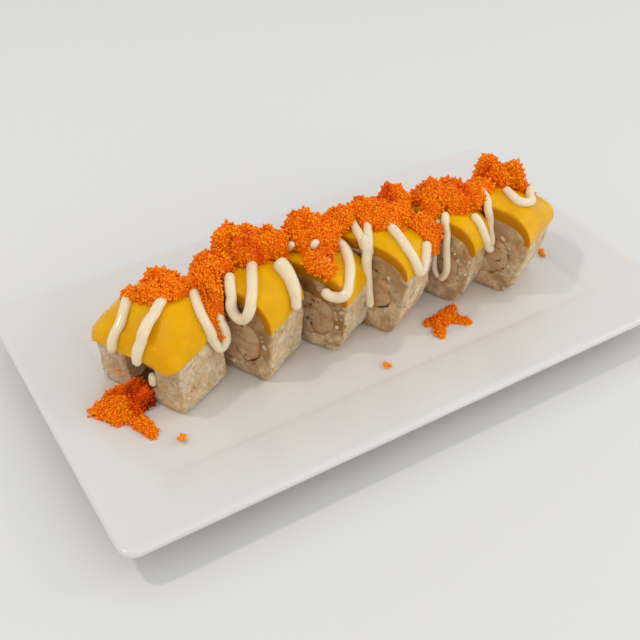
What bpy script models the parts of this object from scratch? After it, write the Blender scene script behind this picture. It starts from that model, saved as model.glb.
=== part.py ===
"""A fruit-topped uramaki roll in six pieces on its oblong plate, in metres, +Z up.

The origin is under the middle of the plate, on the table. X runs along the plate's
long side and Y along its short side. Each piece of the roll has a frame of its own:
its X is the roll's axis, its Y runs across the roll, and its Z is zero on the plate.
"""
import math
import random

import bmesh
import bpy
from mathutils import Matrix, Vector, noise
from mathutils.bvhtree import BVHTree

for old in list(bpy.data.objects):
    bpy.data.objects.remove(old, do_unlink=True)

MM = 0.001
GAP = 0.35 * MM

# The plate
PLATE_LONG = 300.0 * MM
PLATE_SHORT = 169.3 * MM
RIM_WIDTH = 31.5 * MM
LIP_TOP = 19.0 * MM
RIM_FALL = 3.6 * MM
STEP_FALL = 1.0 * MM
STEP_WIDTH = 3.0 * MM
SHELL = 4.6 * MM
FOOT_INSET = 44.0 * MM
FOOT_WIDTH = 5.0 * MM
FOOT_DEPTH = 2.0 * MM
CORNER = 7.0 * MM
PLATE_FLOOR = LIP_TOP - RIM_FALL - STEP_FALL
STAND = PLATE_FLOOR + GAP

# The roll: one row for each piece, in millimetres and degrees.
# corner is the foot of the piece's front left edge, and turn is its turn about Z.
# base and wide are half widths at the plate and at the fruit's lower edge, belt the
# height of that edge, top the height of the crown and lean its shift across the roll.
# lift is the angle by which the fruit's front edge climbs towards the piece's far end.
PIECES = (
    dict(corner=(-95.5, -27.8), turn=26, length=30.0, base=25.5, wide=24.0, belt=26.0, top=44.0, lean=1.5,
         lift=28),
    dict(corner=(-54.7, -26.9), turn=28, length=28.0, base=23.5, wide=24.5, belt=28.5, top=47.0, lean=0.0,
         lift=3),
    dict(corner=(-17.7, -25.7), turn=28, length=23.5, base=21.0, wide=24.5, belt=28.0, top=45.0, lean=0.0,
         lift=9),
    dict(corner=(11.2, -28.2), turn=27, length=28.0, base=20.5, wide=25.0, belt=33.5, top=49.0, lean=-1.0,
         lift=4),
    dict(corner=(51.8, -24.5), turn=28, length=19.5, base=20.0, wide=25.0, belt=30.5, top=47.0, lean=-1.5,
         lift=6),
    dict(corner=(78.2, -31.2), turn=27, length=30.0, base=20.0, wide=25.5, belt=30.5, top=48.0, lean=-2.5,
         lift=0),
)
DOME_POWER = 2.5
FOOT_POWER = 12.0
FRUIT_TOP = 6.0
FRUIT_SIDE = 3.6
FRUIT_OVERHANG = 0.6
END_SINK = 7.0
END_BULGE = (5.0, 0, 0, 0, 0, 8.0)

# The filling: half width, half height and middle height of the core in each piece.
CORES = (
    (9.0, 8.5, 15.5), (18.0, 12.0, 19.0), (17.5, 11.5, 18.0),
    (18.0, 11.0, 23.5), (18.0, 11.0, 20.5), (17.5, 11.0, 20.0),
)
CORE_POWER = 2.6
NORI = 0.9
CLEFT_WIDTH = 12.0
CLEFT_DEPTH = 9.0

RICE_RELIEF = 0.45 * MM
AROUND_LOW = 12
AROUND_DOME = 12
STATIONS = (-1.0, -0.5, 0.0, 0.5, 1.0)

# The sauce: for each piece, strands of a radius through points given along the piece,
# across it and above the plate, in millimetres. They are pressed onto the fruit.
STRANDS = {
    1: (
        (2.0, ((0, 14, 42), (-9, 12, 39), (-15, 10, 36), (-19.5, 8.5, 31), (-20.5, 8, 28))),
        (2.2, ((6, -1, 44), (-8, -2.5, 41), (-17.5, -3.5, 35), (-20, -5.5, 30), (-20.5, -6.5, 26))),
        (2.2, ((13, -1, 44), (12.2, -11, 42), (8, -19.5, 37), (7.5, -24.5, 28), (10, -25.5, 21),
               (14, -25, 23), (15, -23, 31), (15, -14, 40))),
    ),
    2: (
        (2.2, ((-7, 1, 47), (-13, -2, 46), (-16.8, -4, 40), (-17, -7, 33), (-17, -10, 30),
               (-17, -14, 34), (-14.5, -15, 41), (-5, -10, 47), (4, -4, 47.5))),
        (2.8, ((10, -5, 47), (7.5, -14, 45), (4.5, -22, 38), (3, -26, 29))),
    ),
    3: (
        (2.1, ((9.5, -4, 45.5), (8, -12, 43.5), (0, -19, 41), (-8, -23, 37), (-14.2, -21, 33),
               (-14.4, -15, 32), (-12.5, -12, 38))),
    ),
    4: (
        (1.8, ((0, 9, 49), (-8, 4, 49), (-13, -4, 48))),
        (1.8, ((5, 4, 49.5), (-4, 0, 49.5), (-13, -4, 48))),
        (1.8, ((-12, -3, 49), (-15.5, -9, 45), (-16.6, -13, 38), (-16.6, -13.5, 28), (-16.6, -12, 18),
               (-16.6, -10.5, 11))),
        (2.1, ((2, -7, 49), (-2, -15.8, 47), (-5.5, -23, 42), (-2.5, -27.5, 32.5), (2.5, -26.5, 39),
               (6, -21.5, 44))),
    ),
    5: (
        (1.7, ((-6, -5.5, 47.5), (-9.5, -8.5, 45), (-12.4, -10.5, 38), (-12.4, -13, 22), (-12.3, -11.5, 11),
               (-12.3, -8, 9), (-12.4, -5.5, 20), (-12.4, -4.5, 38))),
        (2.0, ((-1, -17, 45), (0, -23, 40), (4, -28, 32), (8, -28.5, 26.5))),
    ),
    6: (
        (2.0, ((-2, 8, 47.5), (-10, 2, 47.5), (-15, -6, 44), (-17.4, -11.5, 37), (-17.6, -13, 30))),
        (2.0, ((4, -4, 47), (-1.5, -11, 47), (-3.5, -16, 45.5), (3, -18.5, 44), (9, -13, 44))),
    ),
}

# The drop of sauce in the first piece's cleft: its radius and place.
CLEFT_DROP = (4.2, (-14.2, -6.5, 13.5))

# The roe: heaps on the roll, each of mounds given by x, y, half lengths and rise.
HEAPS = (
    ((-92, 11, 13, 10, 7.0), (-88, 13, 8, 7, 8.0), (-102, 14, 6, 5, 4.0)),
    ((-65, 7, 10, 9, 8.0), (-70, 1, 6, 7, 5.0), (-72, -9, 4, 7, 3.0)),
    ((-47, 10, 14, 11, 13.0), (-54, 14, 9, 8, 17.0), (-34, 8, 11, 10, 13.0)),
    ((-13, 4, 12, 11, 12.0), (-18, 9, 10, 8, 15.0), (-21, -9, 7, 8, 5.0), (0, 6, 8, 9, 10.0)),
    ((24, 0, 14, 12, 7.0), (36, 6, 9, 8, 11.0), (35, -15, 6, 8, 5.0), (12, 7, 8, 7, 7.0)),
    ((60, -3, 11, 12, 7.0), (53, 2, 7, 8, 9.0), (68, -8, 7, 8, 5.0)),
    ((78, -2, 6, 8, 3.0),),
    ((97, 1, 13, 9, 14.0), (89, 8, 8, 7, 20.0), (107, 0, 8, 7, 13.0)),
)
HEAP_ENDS = (-77, -59.5, -25.5, 6, 45.5, 73, 82.5)
ROE_SUNK = 4.0
SPILL = ((-118, -6, 11, 9, 9.0), (-109, -8, 7, 7, 11.0), (-124, -8, 8, 8, 6.0), (-113, -20, 6, 8, 4.0),
         (-122, 2, 7, 5, 5.0))
STAR = ((39, -31, 5, 4, 2.4), (33, -30, 5, 2.5, 2.0), (44, -27, 5, 2.4, 2.0), (46, -35, 5, 2.2, 1.8),
        (33, -37, 3, 4, 2.0))
STRAND_STEP = 4.4 * MM
GRAIN = 1.1 * MM
GRAINS_PER_HEAP = 4
SECTORS = 13
HEAP_RINGS = 3


def material(name, colour, roughness, subsurface=0.0):
    """A Principled surface of one colour."""
    made = bpy.data.materials.new(name)
    made.use_nodes = True
    shader = made.node_tree.nodes["Principled BSDF"]
    shader.inputs["Base Color"].default_value = (*colour, 1.0)
    shader.inputs["Roughness"].default_value = roughness
    shader.inputs["Metallic"].default_value = 0.0
    shader.inputs["Subsurface Weight"].default_value = subsurface
    return made


PORCELAIN = material("glazed porcelain", (0.76, 0.74, 0.70), 0.15)
RICE = material("pressed rice", (0.62, 0.50, 0.36), 0.55, 0.2)
NORI_SHEET = material("nori", (0.035, 0.030, 0.018), 0.50)
SHRIMP = material("fried shrimp", (0.45, 0.25, 0.14), 0.60)
FRUIT = material("ripe fruit flesh", (0.80, 0.42, 0.01), 0.30, 0.2)
ROE = material("orange roe", (0.80, 0.16, 0.01), 0.25)

food = bpy.data.collections.new("uramaki roll on its plate")
bpy.context.scene.collection.children.link(food)


def add_object(name, mesh, finish, place=Matrix.Identity(4)):
    """An object of one mesh in one finish, put in its place."""
    mesh.materials.clear()
    mesh.materials.append(finish)
    made = bpy.data.objects.new(name, mesh)
    made.matrix_world = place
    food.objects.link(made)
    return made


def smoothstep(value, low, high):
    """0 below low, 1 above high and an even curve between."""
    part = min(max((value - low) / (high - low), 0.0), 1.0)
    return part * part * (3 - 2 * part)


def signed_power(value, power):
    """The power of a number that keeps its sign."""
    return math.copysign(abs(value) ** power, value)


def spaced(points, count):
    """count + 1 points at even steps along an open line of 2-D points."""
    lengths = [0.0]
    for first, second in zip(points, points[1:]):
        lengths.append(lengths[-1] + math.dist(first, second))
    result = []
    place = 0
    for step in range(count + 1):
        goal = lengths[-1] * step / count
        while place < len(lengths) - 2 and lengths[place + 1] < goal:
            place += 1
        span = lengths[place + 1] - lengths[place]
        part = (goal - lengths[place]) / span if span > 0 else 0.0
        part = min(part, 1.0)
        result.append(tuple(a + (b - a) * part for a, b in zip(points[place], points[place + 1])))
    return result


def grid_mesh(name, rings, close_rows):
    """A closed mesh from rings of equal length. The rings also close on each other
    where close_rows is set, and otherwise both ends get a cap."""
    shape = bmesh.new()
    rows = [[shape.verts.new(point) for point in ring] for ring in rings]
    pairs = list(zip(rows, rows[1:]))
    if close_rows:
        pairs.append((rows[-1], rows[0]))
    for first, second in pairs:
        count = len(first)
        for step in range(count):
            after = (step + 1) % count
            shape.faces.new((first[step], first[after], second[after], second[step]))
    if not close_rows:
        for ring, flip in ((rows[0], True), (rows[-1], False)):
            middle = shape.verts.new(sum((v.co for v in ring), Vector()) / len(ring))
            for step, corner in enumerate(ring):
                after = ring[(step + 1) % len(ring)]
                shape.faces.new((after, corner, middle) if flip else (corner, after, middle))
    bmesh.ops.recalc_face_normals(shape, faces=shape.faces)
    mesh = bpy.data.meshes.new(name)
    shape.to_mesh(mesh)
    shape.free()
    return mesh


def solid_mesh(made):
    """The finished mesh of an object, with its modifiers, in the object's own frame."""
    graph = bpy.context.evaluated_depsgraph_get()
    return bpy.data.meshes.new_from_object(made.evaluated_get(graph))


def combine(made, group, operation):
    """Joins a collection's objects to a solid, or cuts it by them, for good."""
    work = made.modifiers.new("combine", "BOOLEAN")
    work.operand_type = "COLLECTION"
    work.collection = group
    work.operation = operation
    work.solver = "MANIFOLD"
    mesh = solid_mesh(made)
    made.modifiers.remove(work)
    made.data = mesh


def body_volume(body):
    """The volume inside one loose body of a mesh, below zero for a cavity."""
    faces = {face for corner in body for face in corner.link_faces}
    total = 0.0
    for face in faces:
        first, *rest = [corner.co for corner in face.verts]
        for second, third in zip(rest, rest[1:]):
            total += first.dot(second.cross(third)) / 6
    return total


def keep_largest(made):
    """Drops the loose scraps that a cut has left."""
    shape = bmesh.new()
    shape.from_mesh(made.data)
    shape.verts.ensure_lookup_table()
    seen = set()
    bodies = []
    for start in shape.verts:
        if start.index in seen:
            continue
        body = [start]
        seen.add(start.index)
        for corner in body:
            for edge in corner.link_edges:
                other = edge.other_vert(corner)
                if other.index not in seen:
                    seen.add(other.index)
                    body.append(other)
        bodies.append(body)
    bodies.sort(key=body_volume)
    scraps = [corner for body in bodies[:-1] for corner in body]
    bmesh.ops.delete(shape, geom=scraps, context="VERTS")
    shape.to_mesh(made.data)
    shape.free()


def new_group(name):
    """A collection for the objects of one Boolean."""
    group = bpy.data.collections.new(name)
    bpy.context.scene.collection.children.link(group)
    return group


def drop_group(group):
    """Removes a collection and the objects in it."""
    for made in list(group.objects):
        bpy.data.objects.remove(made)
    bpy.data.collections.remove(group)


def make_plate():
    """An oblong porcelain plate: a lofted profile of rounded oblongs."""
    half_long = PLATE_LONG / 2
    half_short = PLATE_SHORT / 2

    def oblong(inset, height):
        """A rounded oblong, inset from the plate's outer edge."""
        radius = max(CORNER - inset * 0.1, 3.0 * MM)
        middle_x = half_long - inset - radius
        middle_y = half_short - inset - radius
        ring = []
        for side, (sx, sy) in enumerate(((1, 1), (-1, 1), (-1, -1), (1, -1))):
            for step in range(5):
                angle = math.radians(90 * side + 22.5 * step)
                ring.append(Vector((
                    sx * middle_x + radius * math.cos(angle),
                    sy * middle_y + radius * math.sin(angle), height)))
        return ring

    rim_in = RIM_WIDTH
    foot_out = FOOT_INSET
    foot_in = foot_out + FOOT_WIDTH
    under = PLATE_FLOOR - SHELL
    profile = (
        (foot_in + 1.0 * MM, FOOT_DEPTH), (foot_in, 0.0), (foot_out, 0.0), (foot_out - 1.5 * MM, 3.0 * MM),
        (rim_in, under - 0.5 * MM), (4.0 * MM, LIP_TOP - SHELL), (1.2 * MM, LIP_TOP - 3.9 * MM),
        (0.0, LIP_TOP - 2.3 * MM), (0.8 * MM, LIP_TOP - 0.7 * MM), (2.4 * MM, LIP_TOP),
        (5.0 * MM, LIP_TOP - 0.3 * MM), (rim_in, LIP_TOP - RIM_FALL),
        (rim_in + STEP_WIDTH * 0.5, LIP_TOP - RIM_FALL - STEP_FALL * 0.6), (rim_in + STEP_WIDTH, PLATE_FLOOR),
    )
    mesh = grid_mesh("plate", [oblong(inset, height) for inset, height in profile], False)
    mesh.shade_smooth()
    mesh.set_sharp_from_angle(angle=math.radians(50))
    return add_object("plate", mesh, PORCELAIN)


def place_of(piece):
    """The matrix from a piece's own frame to the plate's."""
    turn = Matrix.Rotation(math.radians(piece["turn"]), 4, "Z")
    corner = Vector((piece["corner"][0] * MM, piece["corner"][1] * MM, STAND))
    to_middle = turn @ Vector((piece["length"] / 2 * MM, piece["base"] * MM, 0))
    return Matrix.Translation(corner + to_middle) @ turn


def crown(piece, number, along):
    """The height of the roll's crown at a place along the piece, in millimetres."""
    half = piece["length"] / 2
    edge_round = 1.2 * (abs(along) / half) ** 4
    end = -along if number == 1 else along if number == len(PIECES) else -half
    sink = END_SINK * smoothstep(end, -0.2 * half, 1.3 * half)
    return piece["top"] - edge_round - sink


def shell_point(piece, number, along, angle, inset_top=0.0, inset_side=0.0):
    """A point of the dome, in millimetres: angle 0 is the front edge and 180 the back."""
    turn = math.radians(angle)
    wide = piece["wide"] - inset_side
    rise = crown(piece, number, along) - inset_top - piece["belt"]
    across = -wide * signed_power(math.cos(turn), 2 / DOME_POWER) + piece["lean"]
    height = piece["belt"] + rise * max(math.sin(turn), 0.0) ** (2 / DOME_POWER)
    return across, height


def low_line(piece, inset=0.0):
    """The side and foot of a section, from the back belt under it to the front belt."""
    line = []
    for step in range(41):
        angle = math.radians(-180.0 * step / 40)
        sink = max(-math.sin(angle), 0.0) ** (2 / FOOT_POWER)
        half = piece["wide"] - inset + (piece["base"] - piece["wide"]) * sink ** 2
        across = half * signed_power(math.cos(angle), 2 / FOOT_POWER) + piece["lean"] * (1 - sink)
        line.append((across, piece["belt"] * (1 - sink)))
    return line


def rice_section(piece, number, along):
    """The closed outline of the rice at a place along the piece."""
    low = spaced(low_line(piece, FRUIT_OVERHANG), AROUND_LOW)
    low = [(across, min(height, piece["belt"] - GAP / MM)) for across, height in low]
    angles = [180.0 * step / 60 for step in range(61)]
    clear = 2 * GAP / MM
    dome = [shell_point(piece, number, along, angle, FRUIT_TOP + clear, FRUIT_SIDE + clear) for angle in angles]
    dome = [(across, max(height - clear, 0)) for across, height in spaced(dome, AROUND_DOME)]
    return low + dome


def core_section(number, grow, count):
    """The oval outline round the filling."""
    half_wide, half_high, middle = CORES[number - 1]
    ring = []
    for step in range(count):
        angle = 2 * math.pi * step / count
        ring.append((
            (half_wide + grow) * signed_power(math.cos(angle), 2 / CORE_POWER),
            middle + (half_high + grow) * signed_power(math.sin(angle), 2 / CORE_POWER)))
    return ring


def matched(outline, number, grow):
    """For each point of an outline, the point of the core's outline that faces it."""
    half_wide, half_high, middle = CORES[number - 1]
    ring = []
    for across, height in outline:
        angle = math.atan2((height - middle) / (half_high + grow), across / (half_wide + grow))
        ring.append((
            (half_wide + grow) * signed_power(math.cos(angle), 2 / CORE_POWER),
            middle + (half_high + grow) * signed_power(math.sin(angle), 2 / CORE_POWER)))
    return ring


def make_rice(piece, number):
    """Pressed rice round the filling: a ring of uneven relief, the size of its grains."""
    half = piece["length"] / 2
    hole_grow = NORI + 3 * GAP / MM
    rings = []
    for part in STATIONS:
        along = half * part
        rings.append([(along, *point) for point in rice_section(piece, number, along)])
    for side in (half, -half):
        outline = rice_section(piece, number, side)
        hole = matched(outline, number, hole_grow)
        parts = (0.5, 1.0) if side > 0 else (1.0, 0.5)
        for part in parts:
            rings.append([(side, *(a + (b - a) * part for a, b in zip(out, inn)))
                          for out, inn in zip(outline, hole)])
    last = len(STATIONS) - 1
    fixed = (0, last, last + 1, last + 4)
    inside = (last + 2, last + 3)
    seed = Vector((number * 7.3, number * 1.9, 0.4))
    for index, ring in enumerate(rings):
        row = []
        for step, (along, across, height) in enumerate(ring):
            point = Vector((along, across, height)) * MM
            hidden = step > AROUND_LOW or height < 0.5
            if index not in inside and not hidden and step not in (0, AROUND_LOW):
                wave = noise.noise(point * 260 + seed)
                outward = Vector((0, across - piece["lean"], height - CORES[number - 1][2])).normalized()
                if index in fixed:
                    outward = Vector((math.copysign(1, along), 0, 0))
                point += outward * RICE_RELIEF * (wave - 0.35)
            row.append(point)
        rings[index] = row
    mesh = grid_mesh("rice", rings, True)
    made = add_object("rice_%d" % number, mesh, RICE, place_of(piece))
    if number == 1:
        open_cleft(made, piece)
    return made


def open_cleft(rice, piece):
    """The slot under the first piece's filling, where its end has split, and the drop
    of sauce that has run into it."""
    half = piece["length"] / 2
    low = -4.0
    high = CORES[0][2]
    size = Vector((2 * (half + 3), CLEFT_WIDTH, high - low)) * MM
    centre = Vector((0, 0.5, (high + low) / 2)) * MM
    slot = bmesh.new()
    bmesh.ops.create_cube(slot, size=1.0, matrix=Matrix.Translation(centre) @ Matrix.Diagonal((*size, 1)))
    radius, spot = CLEFT_DROP
    drop = bmesh.new()
    bmesh.ops.create_icosphere(
        drop, subdivisions=2, radius=radius * MM, matrix=Matrix.Translation(Vector(spot) * MM))
    for shape, operation in ((slot, "DIFFERENCE"), (drop, "UNION")):
        group = new_group("cleft")
        mesh = bpy.data.meshes.new("cleft")
        shape.to_mesh(mesh)
        shape.free()
        tool = bpy.data.objects.new("cleft", mesh)
        tool.matrix_world = rice.matrix_world
        group.objects.link(tool)
        combine(rice, group, operation)
        drop_group(group)
    keep_largest(rice)


def core_reach(piece, number):
    """Where the filling starts and ends along the piece."""
    half = piece["length"] / 2 - 0.4
    return (-half + CLEFT_DEPTH if number == 1 else -half), half


def make_nori(piece, number):
    """The thin sheet rolled round the filling."""
    low, high = core_reach(piece, number)
    outer = core_section(number, NORI + GAP / MM, 20)
    inner = core_section(number, GAP / MM, 20)
    rings = [[Vector((along, *point)) * MM for point in outline]
             for along, outline in ((low, outer), (high, outer), (high, inner), (low, inner))]
    mesh = grid_mesh("nori", rings, True)
    return add_object("nori_%d" % number, mesh, NORI_SHEET, place_of(piece))


def make_filling(piece, number):
    """The fried shrimp that runs through the piece, with lumpy ends."""
    low, high = core_reach(piece, number)
    seed = Vector((3.1 * number, 5.7, number))
    rings = []
    for along, scale in ((low, 0.5), (low, 0.97), (high, 0.97), (high, 0.5)):
        ring = []
        for across, height in core_section(number, -0.1, 16):
            middle = CORES[number - 1][2]
            point = Vector((along, across * scale, middle + (height - middle) * scale)) * MM
            if scale < 0.9:
                lump = noise.noise(point * 220 + seed) * 0.9 * MM
                point.x += math.copysign(abs(lump), along)
            ring.append(point)
        rings.append(ring)
    mesh = grid_mesh("filling", rings, False)
    return add_object("shrimp_%d" % number, mesh, SHRIMP, place_of(piece))


def fruit_rings(piece, number):
    """Outer and inner lines of the fruit slab at each place along the piece."""
    half = piece["length"] / 2
    stations = [half * part for part in STATIONS]
    outer = []
    inner = []
    for along in stations:
        start = piece["lift"] * smoothstep(along, -0.9 * half, 0.1 * half)
        angles = [start + (180.0 - start) * step / 40 for step in range(41)]
        line = [shell_point(piece, number, along, angle) for angle in angles]
        outer.append([(along, *point) for point in spaced(line, AROUND_DOME)])
        line = [shell_point(piece, number, along, angle, FRUIT_TOP, FRUIT_SIDE) for angle in angles]
        inner.append([(along, *point) for point in spaced(line, AROUND_DOME)])
    bulge = END_BULGE[number - 1]
    if bulge:
        side = -1 if number == 1 else 1
        first = 0 if side < 0 else -1
        end_out = outer[first]
        end_in = inner[first]
        belt = piece["belt"]
        flap_out = []
        flap_in = []
        for step in (1, 2, 3):
            turn = math.radians(30 * step)
            sink = math.cos(turn) if step < 3 else 0.0
            along = side * (half + GAP / MM + bulge * math.sin(turn))
            flap_out.append([(along, across * (1 - 0.06 * step), belt + (height - belt) * max(sink, 0.02))
                             for _, across, height in end_out])
            along = side * (half + GAP / MM)
            flap_in.append([(along, across, belt + (height - belt) * max(sink, 0.0))
                            for _, across, height in end_in])
        if side < 0:
            outer = flap_out[::-1] + outer
            inner = flap_in[::-1] + inner
        else:
            outer = outer + flap_out
            inner = inner + flap_in
    return outer, inner


def fruit_mesh(piece, number):
    """The slab of fruit that lies over the piece, as one closed shell."""
    outer, inner = fruit_rings(piece, number)
    rings = []
    for out, inn in zip(outer, inner):
        ring = [Vector(point) * MM for point in out] + [Vector(point) * MM for point in reversed(inn)]
        rings.append(ring)
    shape = bmesh.new()
    rows = [[shape.verts.new(point) for point in ring] for ring in rings]
    count = len(rows[0])
    for first, second in zip(rows, rows[1:]):
        for step in range(count):
            after = (step + 1) % count
            shape.faces.new((first[step], first[after], second[after], second[step]))
    for row in (rows[0], rows[-1]):
        for step in range(count // 2 - 1):
            mate = count - 1 - step
            shape.faces.new((row[step], row[step + 1], row[mate - 1], row[mate]))
    bmesh.ops.remove_doubles(shape, verts=shape.verts, dist=0.00002)
    bmesh.ops.recalc_face_normals(shape, faces=shape.faces)
    mesh = bpy.data.meshes.new("fruit")
    shape.to_mesh(mesh)
    shape.free()
    return mesh


def make_fruit(piece, number):
    """The fruit slab of one piece."""
    return add_object("fruit_%d" % number, fruit_mesh(piece, number), FRUIT, place_of(piece))


def through(points, step):
    """Points at about even steps on a smooth curve through the given ones."""
    ends = [points[0] * 2 - points[1], *points, points[-1] * 2 - points[-2]]
    curve = []
    for before, first, second, after in zip(ends, ends[1:], ends[2:], ends[3:]):
        count = max(round((second - first).length / step), 1)
        for index in range(count):
            part = index / count
            curve.append(0.5 * (
                2 * first + (second - before) * part
                + (2 * before - 5 * first + 4 * second - after) * part ** 2
                + (3 * first - before - 3 * second + after) * part ** 3))
    curve.append(points[-1])
    return curve


def surface_tree(made):
    """A search tree of an object's finished surface, in the plate's frame."""
    mesh = solid_mesh(made)
    corners = [made.matrix_world @ corner.co for corner in mesh.vertices]
    tree = BVHTree.FromPolygons(corners, [tuple(face.vertices) for face in mesh.polygons])
    bpy.data.meshes.remove(mesh)
    return tree


def tube(name, points, radius, group):
    """A round strand with narrowed, closed ends, as a mesh object."""
    line = bpy.data.curves.new(name, "CURVE")
    line.dimensions = "3D"
    line.bevel_depth = radius
    line.bevel_resolution = 1
    line.use_fill_caps = True
    spline = line.splines.new("POLY")
    spline.points.add(len(points) - 1)
    for index, point in enumerate(points):
        spline.points[index].co = (*point, 1.0)
        spline.points[index].radius = 0.6 if index in (0, len(points) - 1) else 1.0
    guide = bpy.data.objects.new(name, line)
    group.objects.link(guide)
    mesh = solid_mesh(guide)
    bpy.data.objects.remove(guide)
    shape = bmesh.new()
    shape.from_mesh(mesh)
    bmesh.ops.remove_doubles(shape, verts=shape.verts, dist=0.00002)
    bmesh.ops.recalc_face_normals(shape, faces=shape.faces)
    shape.to_mesh(mesh)
    shape.free()
    made = bpy.data.objects.new(name, mesh)
    group.objects.link(made)
    return made


def strand_path(piece, number, points, radius, hosts, others):
    """A strand's centre line in the plate's frame: pressed onto its own fruit slab,
    and held clear of every other solid."""
    place = place_of(piece)
    path = []
    for point in through([place @ (Vector(given) * MM) for given in points], STRAND_STEP):
        spot, normal, _, distance = hosts.find_nearest(point)
        hold = 1 - smoothstep(distance, 2.2 * MM, 3.2 * MM)
        point = point.lerp(spot + normal * radius * 0.45, hold)
        for tree in others:
            spot, normal, _, distance = tree.find_nearest(point, radius * 3)
            if spot is None:
                continue
            margin = radius + 2.2 * GAP
            away = point - spot
            if away.dot(normal) < 0 or distance < 0.1 * MM:
                point = spot + normal * margin
            elif distance < margin:
                point = spot + away.normalized() * margin
        path.append(point)
    return path


def add_sauce():
    """Lays the sauce on every piece and returns the paths, for the roe to keep clear."""
    trees = {made.name: surface_tree(made) for made in food.objects if made.name != "plate"}
    laid = []
    for number, piece in enumerate(PIECES, 1):
        own = "fruit_%d" % number
        others = [tree for name, tree in trees.items() if name != own]
        group = new_group("strands")
        for radius, points in STRANDS[number]:
            path = strand_path(piece, number, points, radius * MM, trees[own], others)
            laid.append((radius * MM, path))
            tube("strand", path, radius * MM, group)
        fruit = bpy.data.objects[own]
        combine(fruit, group, "UNION")
        keep_largest(fruit)
        trees[own] = surface_tree(fruit)
        drop_group(group)
    return laid


def plate_top(x, y):
    """The height of the plate's upper face."""
    inset = min(PLATE_LONG / 2 - abs(x), PLATE_SHORT / 2 - abs(y))
    if inset >= RIM_WIDTH + STEP_WIDTH:
        return PLATE_FLOOR
    if inset >= RIM_WIDTH:
        return PLATE_FLOOR + STEP_FALL * (RIM_WIDTH + STEP_WIDTH - inset) / STEP_WIDTH
    return LIP_TOP - RIM_FALL * inset / RIM_WIDTH


def roof(x, y):
    """The height of the roll's crowns over a place on the plate, bridged between pieces."""
    best = STAND
    for number, piece in enumerate(PIECES, 1):
        spot = place_of(piece).inverted() @ Vector((x, y, 0)) / MM
        half = piece["length"] / 2
        if abs(spot.x) > half + 5.5:
            continue
        side = min(abs(spot.y - piece["lean"]) / piece["wide"], 1.0)
        lift = (1 - side ** DOME_POWER) ** (1 / DOME_POWER)
        along = min(max(spot.x, -half), half)
        height = piece["belt"] + (crown(piece, number, along) - piece["belt"]) * lift
        best = max(best, STAND + height * MM)
    return best


def heap_solid(name, mounds, ground, sunk, seed):
    """A heap of roe: an uneven lens over mounds, reaching sunk below its ground."""
    centre = Vector(mounds[0][:2])

    def reach(angle):
        """How far the heap reaches in one direction from its middle."""
        way = Vector((math.cos(angle), math.sin(angle)))
        far = 0.0
        for x, y, half_x, half_y, _ in mounds:
            scale = Vector((1 / half_x, 1 / half_y))
            start = (centre - Vector((x, y))) * scale
            run = way * scale
            inside = start.dot(run) ** 2 - run.dot(run) * (start.dot(start) - 1)
            if inside > 0:
                far = max(far, (math.sqrt(inside) - start.dot(run)) / run.dot(run))
        ragged = noise.noise(Vector((math.cos(angle) * 3, math.sin(angle) * 3, seed)))
        return far * (1 + 0.22 * ragged)

    def rise(x, y):
        """The heap's thickness at a place."""
        best = 0.0
        for mid_x, mid_y, half_x, half_y, high in mounds:
            away = ((x - mid_x) / half_x) ** 2 + ((y - mid_y) / half_y) ** 2
            best = max(best, high * max(1 - away, 0) ** 0.6)
        lump = noise.noise(Vector((x * 0.28, y * 0.28, seed)))
        return max(best * (1 + 0.35 * lump), min(1.4, mounds[0][4] * 0.5))

    reaches = [reach(2 * math.pi * step / SECTORS) for step in range(SECTORS)]
    rings = []
    under = (HEAP_RINGS,) if sunk else range(1, HEAP_RINGS + 1)
    for layer, parts in ((0, under), (1, range(HEAP_RINGS, 0, -1))):
        for part in parts:
            ring = []
            for step in range(SECTORS):
                angle = 2 * math.pi * step / SECTORS
                far = reaches[step] * part / HEAP_RINGS
                x = centre.x + far * math.cos(angle)
                y = centre.y + far * math.sin(angle)
                base = ground(x * MM, y * MM)
                height = base + rise(x, y) * MM if layer else base - sunk
                ring.append(Vector((x * MM, y * MM, height)))
            rings.append(ring)
    mesh = grid_mesh(name, rings, False)
    return add_object(name, mesh, ROE)


def scatter_grains(heap, ground, seed, low):
    """Fuses single grains to a heap where they stand out most."""
    draw = random.Random(seed)
    group = new_group("grains")
    tops = [corner.co.copy() for corner in heap.data.vertices
            if corner.co.z > ground(corner.co.x, corner.co.y) + low]
    for spot in draw.sample(tops, min(GRAINS_PER_HEAP, len(tops))):
        shape = bmesh.new()
        size = GRAIN * draw.uniform(0.85, 1.25)
        turn = Matrix.Rotation(draw.uniform(0, math.pi), 4, "X") @ Matrix.Rotation(draw.uniform(0, math.pi), 4, "Z")
        bmesh.ops.create_icosphere(shape, subdivisions=1, radius=size, matrix=Matrix.Translation(spot) @ turn)
        mesh = bpy.data.meshes.new("grain")
        shape.to_mesh(mesh)
        shape.free()
        group.objects.link(bpy.data.objects.new("grain", mesh))
    combine(heap, group, "UNION")
    drop_group(group)
    keep_largest(heap)


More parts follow.
